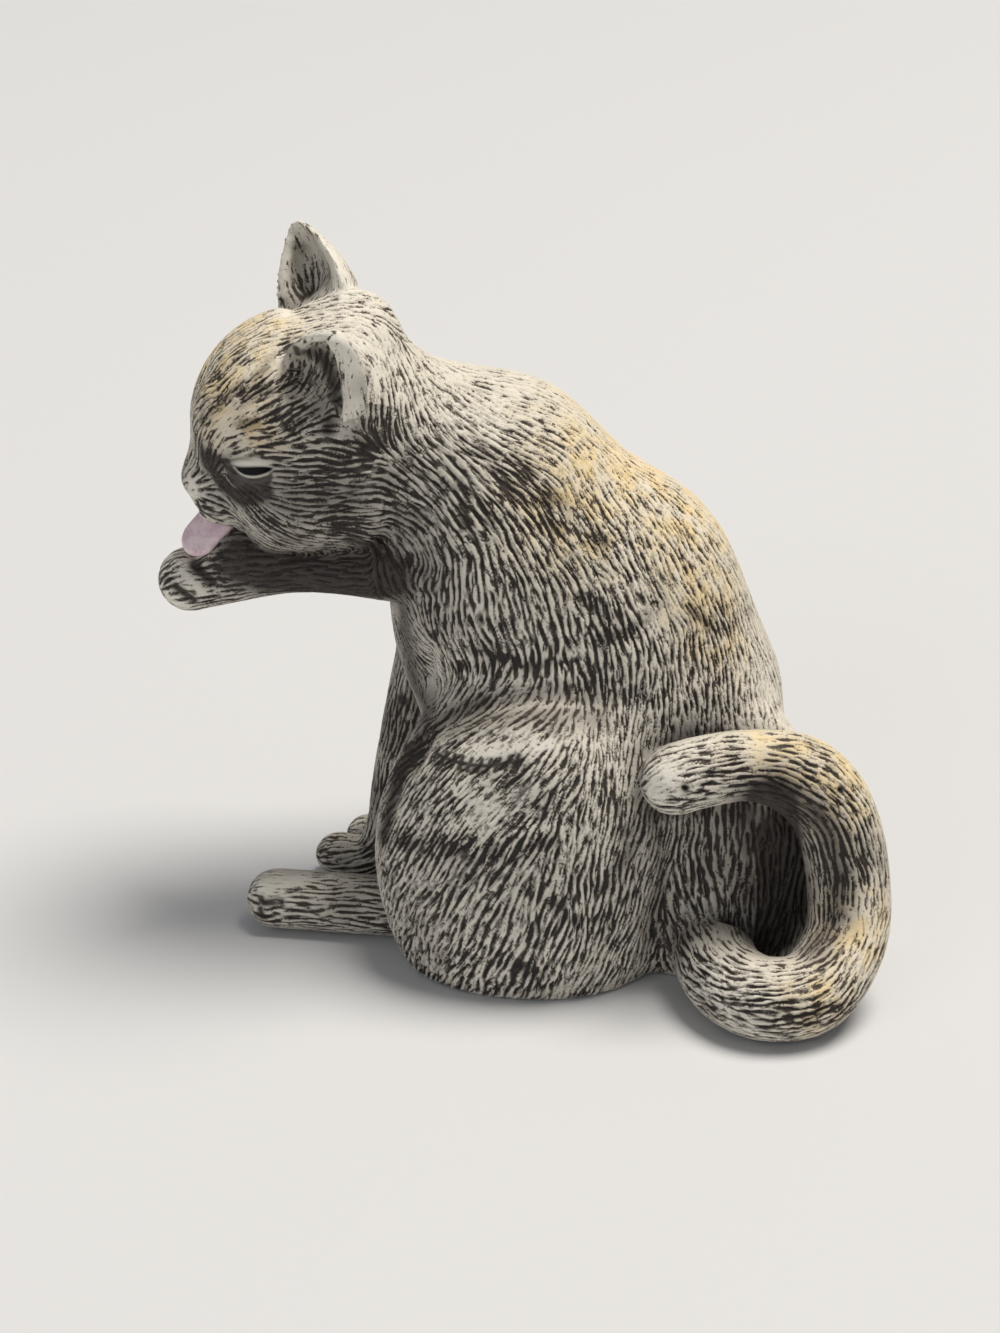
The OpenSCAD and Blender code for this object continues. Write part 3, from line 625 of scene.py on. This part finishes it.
# Painted shade, partly over pooled wash: round patches and long folds darkened where the stone lies in shade,
# on the cheek, the chest, under the chin and forearm and in the tail's pocket
shade_pool_pixels = [
    (300, 575, 5, 1.0), (290, 500, 6, 0.65), (340, 500, 6, 0.65), (385, 530, 5, 0.5), (440, 480, 4, 0.4),
    (320, 460, 4, 0.4), (362, 385, 1.6, 0.3), (400, 470, 5, 0.4), (425, 530, 5, 0.35), (250, 565, 4, 1.0),
    (345, 580, 5, 1.0), (385, 575, 4, 0.9), (330, 550, 3, 0.8), (425, 570, 3.5, 0.7), (405, 520, 3, 0.6),
    (395, 650, 5, 0.65), (388, 720, 5, 0.65), (375, 790, 4, 0.55), (430, 620, 4, 0.4), (615, 890, 5, 0.2),
    (690, 830, 4, 0.5), (720, 860, 5, 0.5), (775, 890, 6, 1.0), (768, 840, 5, 1.0), (745, 815, 3.5, 0.9),
    (800, 920, 4, 1.0), (345, 900, 3, 0.5), (420, 930, 5, 0.25), (295, 540, 4, 0.6), (340, 515, 5, 0.55),
    (385, 480, 3, 0.6), (280, 500, 4, 0.35), (216, 462, 1.8, 0.95), (246, 488, 3.2, 0.6),
    (280, 478, 2.5, 0.5), (225, 500, 2, 0.5), (680, 940, 4, 0.7), (365, 552, 3, 0.95), (300, 372, 2.4, 0.6),
    (365, 440, 3.0, 0.75), (405, 590, 4, 0.5), (430, 500, 4, 0.3),
]
shade_pool_lines_pixels = [
    ([(765, 800), (800, 803), (828, 830), (840, 870), (836, 915), (812, 948)], 2.2, 0.8),
    ([(772, 800), (782, 850), (785, 900), (775, 935)], 3.4, 1.7),
    ([(455, 730), (490, 719), (540, 715), (600, 718)], 1.8, 0.6),
    ([(206, 460), (220, 482), (240, 497), (262, 490)], 1.9, 1.3), ([(212, 458), (228, 464)], 1.2, 1.1),
    ([(384, 560), (372, 548), (350, 540)], 1.4, 1.0),
    ([(240, 563), (260, 572), (300, 578), (345, 582), (385, 580)], 4.2, 1.3),
    ([(378, 545), (380, 575), (378, 600)], 1.2, 1.0),
    ([(400, 600), (406, 640), (416, 690), (426, 720)], 3.0, 0.8), ([(840, 845), (884, 855)], 3.0, 0.4),
    ([(304, 352), (322, 358), (333, 380), (335, 405), (328, 430)], 1.2, 0.95),
    ([(288, 350), (300, 362), (318, 385), (322, 415)], 2.0, 0.6),
    ([(384, 835), (392, 800), (404, 766), (420, 740)], 1.8, 0.95),
    ([(420, 740), (450, 716), (485, 702)], 1.6, 0.8), ([(485, 702), (540, 694), (605, 698)], 1.7, 0.55),
    ([(656, 830), (662, 880), (655, 940)], 1.8, 0.55), ([(398, 510), (400, 560), (396, 600)], 1.6, 0.7),
    ([(650, 815), (700, 812), (745, 800)], 1.6, 0.8),
]
shade_pool = np.maximum(near_patches(shade_pool_pixels), near_lines(shade_pool_lines_pixels))
# The smooth skin round the eyes is darkened too, a painted shade under the brow
shade_pool = np.maximum(shade_pool, np.clip(bare * 2.5, 0, 1) * (1 - lid_paint))

# The stripes of a tabby: bands where the strokes are broad, deep and black
tabby_lines_pixels = [
    ([(299, 245), (305, 270), (304, 295)], 1.3), ([(480, 445), (500, 470), (515, 495)], 0.9),
    ([(510, 462), (545, 490), (560, 520)], 1.6), ([(470, 500), (505, 530)], 1.5),
    ([(560, 505), (600, 540)], 1.1), ([(440, 765), (480, 768), (520, 762)], 1.0),
    ([(400, 840), (450, 850), (500, 852), (545, 845)], 1.3), ([(545, 900), (580, 925), (610, 915)], 0.7),
    ([(480, 650), (520, 668), (545, 668)], 0.9), ([(590, 680), (640, 695)], 1.0),
    ([(600, 640), (640, 625), (660, 600)], 0.9), ([(202, 420), (230, 395), (262, 370), (290, 345)], 0.8),
    ([(240, 400), (275, 385), (300, 380)], 1.2), ([(240, 425), (270, 415), (300, 425)], 1.0),
    ([(330, 470), (370, 450), (390, 430)], 1.6), ([(320, 520), (350, 530)], 1.3),
    ([(700, 735), (735, 750), (742, 775)], 0.9), ([(800, 735), (830, 765)], 1.0),
    ([(845, 880), (887, 882)], 0.7), ([(790, 1010), (840, 1010)], 1.1), ([(500, 960), (540, 975)], 1.0),
    ([(690, 610), (720, 630), (750, 610)], 0.8), ([(620, 800), (630, 850), (600, 890)], 1.2),
    ([(430, 745), (400, 770)], 1.6), ([(585, 600), (610, 620)], 0.9),
]
tabby = near_lines([(*line, 1.0) for line in tabby_lines_pixels])


def neighbours_of(faces, count, most):
    """The points round each point, over the sides and corners of the faces; the point itself fills up a row."""
    pairs = np.concatenate([faces[:, [a, b]] for a in range(4) for b in range(4) if a != b]).astype(np.int64)
    keys = np.unique(pairs[:, 0] * count + pairs[:, 1])
    first, second = keys // count, keys % count
    column = np.arange(len(first)) - np.searchsorted(first, np.arange(count))[first] + 1
    table = np.repeat(np.arange(count, dtype=np.int32)[:, None], most, 1)
    kept = column < most
    table[first[kept], column[kept]] = second[kept]
    return table


def drawn_along(sign, steps, stride):
    """The points that a tool passes when it is drawn along the lay from each point of the skin."""
    passed = np.empty((steps, len(skin)), np.int32)
    for start in range(0, len(skin), 40000):
        at = np.arange(start, min(start + 40000, len(skin)))
        rows = np.arange(len(at))
        place, way = flat_skin[at].copy(), flat_lay[at] * sign
        for step in range(steps):
            place += way * stride
            options = table[at]
            gap = ((flat_skin[options] - place[:, None]) ** 2).sum(2)
            at = options[rows, gap.argmin(1)]
            out = flat_normals[at]
            place -= out * ((place - flat_skin[at]) * out).sum(1)[:, None]
            turned = flat_lay[at]
            way = turned * np.sign((turned * way).sum(1))[:, None]
            passed[step, start:start + len(at)] = at
    return passed


def softened(values, times):
    """Values evened out over the skin, a number of times."""
    values = values.reshape(len(values), -1)
    for _ in range(times):
        values = spread_over(values, edges)
    return values[:, 0] if values.shape[1] == 1 else values


def streaked(values, reach):
    """Draws values out along the lay, as a comb does, for a share of the tool's whole reach."""
    total = values * 1.0
    steps = round(stroke_steps * reach)
    for passed in (ahead, behind):
        for step, at in enumerate(passed[:steps]):
            total += values[at] * math.cos(math.pi / 2 * (step + 1) / (steps + 1)) ** 2
    return total


# Grit is drawn out along the lay into streaks, evened out and drawn out again: lines 0.7 to 1 mm
# apart that taper, fork and break off as hair by hair tool strokes do
table = neighbours_of(quads, len(skin), 9)
flat_skin, flat_lay, flat_normals = skin.astype(np.float32), lay.astype(np.float32), normals.astype(np.float32)
stride, stroke_half = skin_pitch * 0.56, 1.75
stroke_steps = round(stroke_half / stride)
ahead, behind = drawn_along(1, stroke_steps, stride), drawn_along(-1, stroke_steps, stride)


def rounds_for(width):
    """How many rounds of evening out blur the skin by a width."""
    return max(1, round(2 * (width / (skin_pitch / 2)) ** 2))


# The inner and outer width of blur whose difference leaves strokes of one breadth
thin_stroke, broad_stroke, hair_scratch = (0.12, 0.24), (0.15, 0.33), (0.09, 0.17)
stroke_gap, stroke_edge, even_reach = 0.4, 1.5, 0.9
broad_share = softened(np.array([1.0, 0.2, 0, 0, 0.3, 0.4, 0.4, 0.2, 0.8])[owner], 30)
grit = fur_seed.standard_normal(len(skin))
streaks = 0
for widths, share in ((thin_stroke, 1 - broad_share), (broad_stroke, broad_share)):
    inside = softened(grit, rounds_for(widths[0]))
    band = inside - softened(inside, rounds_for(widths[1]) - rounds_for(widths[0]))
    streaks = streaks + share * band / band.std()
for reach in (0.9, 0.5):
    streaks = streaked(streaks, reach)
    streaks = streaks - softened(streaks, rounds_for(stroke_gap))
    strength = np.sqrt(softened(streaks ** 2, rounds_for(even_reach)) + 1e-9)
    streaks = np.tanh(stroke_edge * streaks / strength)
streaks = streaked(streaks, 0.35)
streaks = streaks / np.sqrt(0.7 * softened(streaks ** 2, rounds_for(1.0)) + 0.3 * (streaks ** 2).mean())
scratches = softened(fur_seed.standard_normal(len(skin)), rounds_for(hair_scratch[0]))
scratches = streaked(scratches - softened(scratches, rounds_for(hair_scratch[1])), 0.4)
scratches = scratches / scratches.std()
patch_width, spot_width = 1.1, 0.42
patchy = softened(fur_seed.standard_normal(len(skin)), rounds_for(patch_width))
spotty = softened(fur_seed.standard_normal(len(skin)), rounds_for(spot_width))
# The clay left standing between strokes: most where it is worn or rubbed, least in stripes and folds
rest = (0.4 + 0.3 * patchy / patchy.std() + 0.6 * spotty / spotty.std() - 0.85 * tabby + 1.9 * worn
        + 0.65 * rub_and_highlight - 0.9 * shade_pool)
scratch_share, scratch_start = 0.7, 1.35
groove = (np.maximum(streaks - rest, scratch_share * (scratches - scratch_start))
          - 2.2 * bare - 5 * lid_paint.clip(0, 1))
fur_depth = np.array([0.26, 0.2, 0.07, 0.07, 0.15, 0.18, 0.18, 0.15, 0.24])
depth_here = softened(fur_depth[owner], 20)
cut_start, cut_span, ridge_height = -0.25, 1.3, 0.14
cut = np.clip((groove - cut_start) / cut_span, 0, 1)
ridge = ridge_height * np.clip(-groove, 0, 1.5) * np.clip(1 - 3 * smooth, 0, 1)
carved = depth_here * (cut * cut * (3 - 2 * cut) - ridge)
skin -= normals * carved[:, None]
fine_normals = normals_of(skin, quads)


# ---------------------------------------------------------------- The stone and its wash
# Bone-coloured cast stone, matt and a little chalky. A black-brown wash lies in every groove, a thin
# one greys the hollows, and the back, the crown and the top of the tail are rubbed with tan. Painted shade
# darkens the folds and the places under overhangs, and a painted highlight lightens the faces turned up to the
# lamp.
tan_pixels = [
    (690, 520, 9), (640, 480, 8), (590, 460, 7), (560, 500, 6), (240, 360, 5), (215, 400, 4), (260, 330, 4),
    (815, 760, 6), (850, 780, 6), (860, 930, 5), (780, 745, 5), (700, 580, 6), (820, 1000, 4), (255, 425, 3),
    (620, 430, 6), (740, 560, 5),
]
tan = near_patches([(*patch, 1.0) for patch in tan_pixels])

# Painted shade, with the wash that gathers there: the skin is darkened where rays from it are blocked, in folds
# and under overhangs
shade_sample = fur_seed.permutation(len(skin))[:18000]
ray_start, ray_length = 0.9, 16
turn_rays = [(math.cos(a) * math.sin(b), math.sin(a) * math.sin(b), math.cos(b))
             for b, turns in ((0.35, 4), (0.8, 6), (1.15, 8)) for a in np.arange(turns) * 2 * math.pi / turns + b]
fold_finder = KDTree(len(shade_sample))
fold_depth = np.zeros(len(shade_sample))
for number, vertex in enumerate(shade_sample.tolist()):
    fold_finder.insert(skin[vertex].tolist(), number)
    out = normals[vertex]
    side = unit(np.cross(out, [0.3, 0.5, 0.8]))
    spun = np.stack([side, np.cross(out, side), out], 0)
    start = (skin[vertex] + out * ray_start).tolist()
    fold_depth[number] = sum(skin_tree.ray_cast(start, way, ray_length)[0] is not None
                             for way in (turn_rays @ spun).tolist()) / len(turn_rays)
fold_finder.balance()
nearest_fold = np.array([fold_finder.find(place)[1] for place in skin[:coarse_count].tolist()])
fold = softened(fold_depth[nearest_fold][parent], 60)
on_ear = softened(np.isin(owner, ear_ids) * 1.0, 60)
fold_gain, fold_start, most_shade, ears_spared = 1.6, 0.22, 0.95, 0.55
wash_and_shade = np.clip(fold * fold_gain - fold_start, 0, most_shade) * (1 - ears_spared * on_ear)
wash_and_shade = np.maximum(wash_and_shade, shade_pool)

# Black lines and specks that the wash left in cuts: mouth, nostril, toes, ear fold and bubble pits. The last,
# broad line is painted shade in the recess between the standing leg and the haunch
ink_pixels = [
    ([(197, 501), (201, 509), (208, 515), (222, 521)], 0.3), ([(190, 503), (198, 505)], 0.35),
    ([(208, 452), (216, 460), (226, 466)], 0.45), ([(160, 566), (176, 586), (194, 600)], 0.5),
    ([(177, 546), (195, 565), (213, 581)], 0.75), ([(247, 902), (264, 903), (282, 902)], 0.4),
    ([(336, 838), (342, 824), (350, 812)], 0.3), ([(296, 348), (298, 354)], 0.5),
    ([(684, 787), (686, 789)], 0.45), ([(839, 789), (841, 791)], 0.4), ([(248, 912), (249, 926)], 0.4),
    ([(209, 521), (212, 523)], 0.15), ([(217, 522), (220, 524)], 0.15),
    ([(402, 700), (410, 752), (398, 790)], 1.0),
]
haunch_ticks = [
    (437, 754), (445, 758), (453, 761), (461, 763), (470, 765), (480, 766), (489, 766), (498, 765),
    (508, 763), (517, 761),
]
ink_pixels += [([(x + 2, y - 6), (x - 3, y + 6)], 0.3) for x, y in haunch_ticks] + [(haunch_ticks, 0.3)]
ink_strength = 1.3
wash_and_shade = np.maximum(wash_and_shade, near_lines([(*line, ink_strength) for line in ink_pixels], mirrored=False))

# Two bubbles burst at the face of the mould and left black pits on the tail
pit_pixels, pit_radius = [(685, 788), (840, 790)], 0.34
for pixel in pit_pixels:
    away = np.linalg.norm(skin - seen(pixel)[0], axis=1)
    slit_paint = np.maximum(slit_paint, np.exp(-(away / pit_radius) ** 4))


def new_paint(name):
    """A new material with nothing in its node tree yet."""
    paint = bpy.data.materials.new(name)
    paint.use_nodes = True
    paint.node_tree.nodes.clear()
    return paint


def add(tree, kind, inputs=(), **settings):
    """Adds a node, with its settings and inputs; an input is a value or another node's output."""
    node = tree.nodes.new(kind)
    for setting, value in settings.items():
        setattr(node, setting, value)
    for socket, value in dict(inputs).items():
        if isinstance(value, bpy.types.NodeSocket):
            tree.links.new(value, node.inputs[socket])
        else:
            node.inputs[socket].default_value = value
    return node


def attribute(tree, name):
    return add(tree, "ShaderNodeAttribute", attribute_name=name).outputs["Fac"]


def noise(tree, scale, detail=3, roughness=0.55, vector=None):
    inputs = {"Scale": scale, "Detail": detail, "Roughness": roughness}
    if vector is not None:
        inputs["Vector"] = vector
    return add(tree, "ShaderNodeTexNoise", inputs).outputs["Fac"]


def ramp(tree, value, low, high, to_low=0.0, to_high=1.0):
    inputs = {"Value": value, "From Min": low, "From Max": high, "To Min": to_low, "To Max": to_high}
    return add(tree, "ShaderNodeMapRange", inputs, interpolation_type="SMOOTHSTEP").outputs["Result"]


def sums(tree, operation, a, b):
    return add(tree, "ShaderNodeMath", {0: a, 1: b}, operation=operation).outputs["Value"]


def blended(tree, share, a, b, way="MIX"):
    node = add(tree, "ShaderNodeMix", data_type="RGBA", blend_type=way)
    for socket, value in ((0, share), (6, a), (7, b)):
        if isinstance(value, bpy.types.NodeSocket):
            tree.links.new(value, node.inputs[socket])
        else:
            node.inputs[socket].default_value = value
    return node.outputs[2]


bone_dark, bone_light, speck_grey = (0.69, 0.645, 0.56, 1), (0.82, 0.765, 0.665, 1), (0.40, 0.37, 0.33, 1)
highlight_bone, worn_bone, tan_brown = (0.87, 0.80, 0.66, 1), (0.87, 0.83, 0.73, 1), (0.89, 0.69, 0.38, 1)
film_and_shade_grey, wash_brown, wash_black = (0.055, 0.047, 0.042, 1), (0.085, 0.064, 0.048, 1), (0.02, 0.017, 0.016, 1)
lid_pale, slit_black = (0.76, 0.73, 0.64, 1), (0.012, 0.011, 0.012, 1)
stone = new_paint("washed_stone")
tree = stone.node_tree
place = add(tree, "ShaderNodeTexCoord").outputs["Object"]
speckle = noise(tree, 2600, 4, 0.6, place)
cloud = noise(tree, 160, 3, 0.5, place)
patch = noise(tree, 420, 3, 0.6, place)
grain = noise(tree, 5200, 3, 0.6, place)
bone = blended(tree, ramp(tree, cloud, 0.35, 0.65), bone_dark, bone_light)
bone = blended(tree, sums(tree, "MULTIPLY", ramp(tree, speckle, 0.45, 0.75), 0.35), bone, speck_grey)
# Faces turned up to the lamp get a painted highlight
bone = blended(tree, sums(tree, "MULTIPLY", attribute(tree, "rub_and_highlight"), 0.5), bone, highlight_bone)
bone = blended(tree, sums(tree, "MULTIPLY", attribute(tree, "worn"), 0.55), bone, worn_bone)
tanned = sums(tree, "MULTIPLY", attribute(tree, "tan"), ramp(tree, patch, 0.36, 0.62, 0.25, 0.95))
bone = blended(tree, tanned, bone, tan_brown)
# The thin wash greys the hollows and pools in the stripes, and painted shade darkens the folds and the places in
# shade
stripe = sums(tree, "MULTIPLY", attribute(tree, "tabby"), ramp(tree, patch, 0.36, 0.6, 0.2, 1.0))
flank = ramp(tree, attribute(tree, "groove"), -1.0, 0.1)
wash_film_and_shade = sums(tree, "MULTIPLY", flank, ramp(tree, cloud, 0.35, 0.65, 0.55, 0.8))
# Worn places and the painted highlight keep less of the thin wash
worn_or_highlit = sums(tree, "MAXIMUM", attribute(tree, "worn"), attribute(tree, "rub_and_highlight"))
wash_film_and_shade = sums(tree, "MULTIPLY", wash_film_and_shade, ramp(tree, worn_or_highlit, 0.1, 1.0, 1.0, 0.3))
wash_film_and_shade = sums(tree, "MAXIMUM", wash_film_and_shade, sums(tree, "MULTIPLY", stripe, 0.72))
# Painted shade: the folds and the places in shade go almost black
pooled_shade = sums(tree, "MULTIPLY", attribute(tree, "wash_and_shade"),
              ramp(tree, attribute(tree, "groove"), -2.0, -0.4, 0.97, 1.0))
wash_film_and_shade = sums(tree, "MAXIMUM", wash_film_and_shade, pooled_shade)
bone = blended(tree, wash_film_and_shade, bone, film_and_shade_grey)
# The black wash fills the grooves, with ragged edges. It is brown where it is thin, and also, as a painted
# highlight, on faces turned up to the lamp
ragged = sums(tree, "ADD", sums(tree, "MULTIPLY", speckle, 1.7), sums(tree, "MULTIPLY", grain, 0.9))
edge = sums(tree, "ADD", attribute(tree, "groove"), sums(tree, "SUBTRACT", ragged, 1.3))
edge = sums(tree, "ADD", edge, sums(tree, "MULTIPLY", stripe, 0.35))
washed = ramp(tree, edge, 0.04, 0.24)
deep = sums(tree, "SUBTRACT", ramp(tree, edge, 0.2, 1.3), sums(tree, "MULTIPLY", attribute(tree, "rub_and_highlight"), 0.45))
wash = blended(tree, deep, wash_brown, wash_black)
colour = blended(tree, sums(tree, "MULTIPLY", washed, 0.95), bone, wash)
colour = blended(tree, attribute(tree, "lids"), colour, lid_pale)
colour = blended(tree, attribute(tree, "slit"), colour, slit_black)
shine = add(tree, "ShaderNodeMapRange", {"Value": speckle, "From Min": 0.3, "From Max": 0.7,
                                         "To Min": 0.62, "To Max": 0.84}).outputs["Result"]
relief = sums(tree, "ADD", sums(tree, "MULTIPLY", grain, 0.4), sums(tree, "MULTIPLY", speckle, 0.8))
bump = add(tree, "ShaderNodeBump", {"Strength": 0.55, "Distance": 0.00012, "Height": relief})
shader = add(tree, "ShaderNodeBsdfPrincipled", {"Base Color": colour, "Roughness": shine,
                                                "Normal": bump.outputs["Normal"], "Specular IOR Level": 0.35})
add(tree, "ShaderNodeOutputMaterial", {"Surface": shader.outputs["BSDF"]})


def stand_in(mesh, paint, node):
    """Puts a finished mesh in place of a CAD solid, painted and riding on the one body."""
    mesh.polygons.foreach_set("use_smooth", np.ones(len(mesh.polygons), bool))
    mesh.materials.append(paint)
    piece = bpy.data.objects.new(mesh.name, mesh)
    bpy.context.scene.collection.objects.link(piece)
    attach(piece, "root")
    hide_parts(node)


def stone_piece(node, owner_number):
    """Takes one casting's part of the skin, closes it where the next piece joins it, and finishes it."""
    faces = quads[owner[quads[:, 0]] == owner_number]
    used = np.unique(faces)
    number = np.full(len(skin), -1)
    number[used] = np.arange(len(used))
    faces = number[faces]
    points, ways = skin[used], fine_normals[used]
    # Edges that only one face uses run round the joints; each joint is closed by a fan to its middle
    sides = np.concatenate([faces[:, [k, (k + 1) % 4]] for k in range(4)])
    keys = sides.min(1).astype(np.int64) * len(points) + sides.max(1)
    _, first, times = np.unique(keys, return_index=True, return_counts=True)
    rim = sides[first[times == 1]]
    follow = dict(rim.tolist())
    caps, middles, seen_rim = [], [], set()
    for start in list(follow):
        loop, here = [], start
        while here in follow and here not in seen_rim:
            seen_rim.add(here)
            loop.append(here)
            here = follow[here]
        if len(loop) > 2:
            middles.append(points[loop].mean(0))
            hub = len(points) + len(middles) - 1
            caps += [(loop[(k + 1) % len(loop)], loop[k], hub) for k in range(len(loop))]
    cap_faces = np.array(caps, int).reshape(-1, 3)
    everything = np.concatenate([points] + ([np.array(middles)] if middles else []))
    mesh = mesh_from(node + "_stone", everything / 1000, faces, cap_faces)
    extra = len(everything) - len(points)
    for name, values in (("groove", groove), ("tan", tan), ("tabby", tabby), ("worn", worn), ("lids", lid_paint),
                         ("slit", slit_paint), ("wash_and_shade", wash_and_shade), ("rub_and_highlight", rub_and_highlight)):
        layer = mesh.attributes.new(name, "FLOAT", "POINT")
        layer.data.foreach_set("value", np.concatenate([values[used], np.zeros(extra)]).astype(np.float32))
    stand_in(mesh, stone, node)
    mesh.normals_split_custom_set_from_vertices(
        np.concatenate([ways, np.tile([0.0, 0.0, 1.0], (extra, 1))]).tolist())


for number, node in enumerate(stone_nodes):
    stone_piece(node, number)


# ---------------------------------------------------------------- The eyes
# Two balls of the same stone, painted a dull black. Each sits in a round socket, and shows only in the
# slit between its lids.
for node in ("left_eye", "right_eye"):
    low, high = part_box(node)
    middle, radius = (np.array(low) + np.array(high)) / 2, (high.x - low.x) / 2
    turns, rises = 48, 24
    rings = [[middle + radius * np.array([math.cos(a) * math.sin(b), math.sin(a) * math.sin(b), math.cos(b)])
              for a in np.arange(turns) * 2 * math.pi / turns] for b in np.arange(1, rises) * math.pi / rises]
    poles = [middle + [0, 0, radius], middle - [0, 0, radius]]
    points = np.concatenate([np.array(rings).reshape(-1, 3), poles])
    faces = np.array([[j * turns + i, (j + 1) * turns + i,
                       (j + 1) * turns + (i + 1) % turns, j * turns + (i + 1) % turns]
                      for j in range(rises - 2) for i in range(turns)])
    top, bottom = len(points) - 2, len(points) - 1
    last = (rises - 2) * turns
    caps = np.array([[top, i, (i + 1) % turns] for i in range(turns)]
                    + [[bottom, last + (i + 1) % turns, last + i] for i in range(turns)])
    paint = new_paint(node + "_black")
    tree = paint.node_tree
    mottle = noise(tree, 900, 3)
    shade = blended(tree, ramp(tree, mottle, 0.3, 0.7), (0.006, 0.006, 0.008, 1), (0.018, 0.016, 0.016, 1))
    bump = add(tree, "ShaderNodeBump", {"Strength": 0.2, "Distance": 0.00005, "Height": mottle})
    shader = add(tree, "ShaderNodeBsdfPrincipled", {"Base Color": shade, "Roughness": 0.5,
                                                    "Normal": bump.outputs["Normal"], "Specular IOR Level": 0.06})
    add(tree, "ShaderNodeOutputMaterial", {"Surface": shader.outputs["BSDF"]})
    stand_in(mesh_from(node + "_ball", points, faces, caps), paint, node)


# ---------------------------------------------------------------- The tongue
# A flat tongue of the same stone, painted a pale lilac pink. It sits in a slot in the mouth, and comes
# out onto the paw.
tongue_pitch = 0.22
tongue_points, tongue_faces = triangles_of("tongue")
tongue_skin, tongue_quads = worked(mesh_from("blank", tongue_points, tongue_faces), "REMESH",
                                   mode="VOXEL", voxel_size=tongue_pitch, adaptivity=0)
tongue_edges = edges_of(tongue_quads, len(tongue_skin))
for _ in range(10):
    tongue_skin = tongue_skin + (spread_over(tongue_skin, tongue_edges) - tongue_skin) * 0.5
# The modeller drew it out of the mouth, leaned it back and pressed it flat against the paw
tongue_size, tongue_shift = [0.84, 0.92, 0.92], [-1.25, 0.0, -0.4]
tongue_lean, tongue_height = 0.24, 0.84
tongue_heart = tongue_skin.mean(0)
tongue_skin = (tongue_skin - tongue_heart) * tongue_size + tongue_heart + tongue_shift
tongue_low = tongue_skin[:, 2].min()
tongue_skin[:, 0] += (tongue_skin[:, 2] - tongue_low) * tongue_lean
tongue_skin[:, 2] = tongue_low + (tongue_skin[:, 2] - tongue_low) * tongue_height
pink = new_paint("tongue_pink")
tree = pink.node_tree
place = add(tree, "ShaderNodeTexCoord").outputs["Object"]
mottle = noise(tree, 700, 4, 0.6, place)
fleck = noise(tree, 2600, 3, 0.6, place)
shade = blended(tree, ramp(tree, mottle, 0.35, 0.65), (0.71, 0.51, 0.57, 1), (0.86, 0.71, 0.74, 1))
shade = blended(tree, ramp(tree, fleck, 0.6, 0.72, 0, 0.6), shade, (0.33, 0.20, 0.25, 1))
bump = add(tree, "ShaderNodeBump", {"Strength": 0.4, "Distance": 0.0001, "Height": fleck})
shader = add(tree, "ShaderNodeBsdfPrincipled", {"Base Color": shade, "Roughness": 0.5,
                                                "Normal": bump.outputs["Normal"]})
add(tree, "ShaderNodeOutputMaterial", {"Surface": shader.outputs["BSDF"]})
stand_in(mesh_from("tongue_blade", tongue_skin / 1000, tongue_quads), pink, "tongue")


# ---------------------------------------------------------------- The table and the lamps
# A plain pale table under soft studio light. A broad lamp hangs above and to the right, a weaker one
# stands at the left, and the walls are pale.
table_corners = np.array([(-3, -3, 0), (3, -3, 0), (3, 3, 0), (-3, 3, 0)])
table_mesh = mesh_from("table", table_corners, np.array([[0, 1, 2, 3]]))
table_top = new_paint("pale_table")
tree = table_top.node_tree
shader = add(tree, "ShaderNodeBsdfPrincipled", {"Base Color": (0.70, 0.70, 0.70, 1), "Roughness": 0.9})
add(tree, "ShaderNodeOutputMaterial", {"Surface": shader.outputs["BSDF"]})
table_mesh.materials.append(table_top)
table_board = bpy.data.objects.new("table", table_mesh)
bpy.context.scene.collection.objects.link(table_board)

world = bpy.data.worlds.new("studio")
bpy.context.scene.world = world
world.use_nodes = True
tree = world.node_tree
tree.nodes.clear()
walls = add(tree, "ShaderNodeBackground", {"Color": (0.80, 0.82, 0.86, 1), "Strength": 0.24})
behind = add(tree, "ShaderNodeBackground", {"Color": (0.9, 0.9, 0.9, 1), "Strength": 1.0})
path = add(tree, "ShaderNodeLightPath")
mixed = add(tree, "ShaderNodeMixShader", {0: path.outputs["Is Camera Ray"], 1: walls.outputs[0],
                                          2: behind.outputs[0]})
add(tree, "ShaderNodeOutputWorld", {"Surface": mixed.outputs[0]})


lamp_aim = np.array([0, 0, 0.03])


def lamp(name, place, width, watts, colour):
    """A round soft lamp at a place in metres that shines at the middle of the cat."""
    light = bpy.data.lights.new(name, "AREA")
    light.shape, light.size, light.energy, light.color = "DISK", width, watts, colour
    holder = bpy.data.objects.new(name, light)
    back = unit(np.array(place) - lamp_aim)
    side = unit(np.cross([0, 0, 1], back))
    holder.matrix_world = standing((side, np.cross(back, side), back), place)
    bpy.context.scene.collection.objects.link(holder)


lamp("main_lamp", (0.84, 0.22, 2.82), 1.55, 88, (1.0, 0.96, 0.9))
lamp("side_lamp", (-1.5, -2.7, 1.45), 2.1, 13.5, (0.92, 0.95, 1.0))

bpy.context.scene.view_settings.view_transform = "Standard"
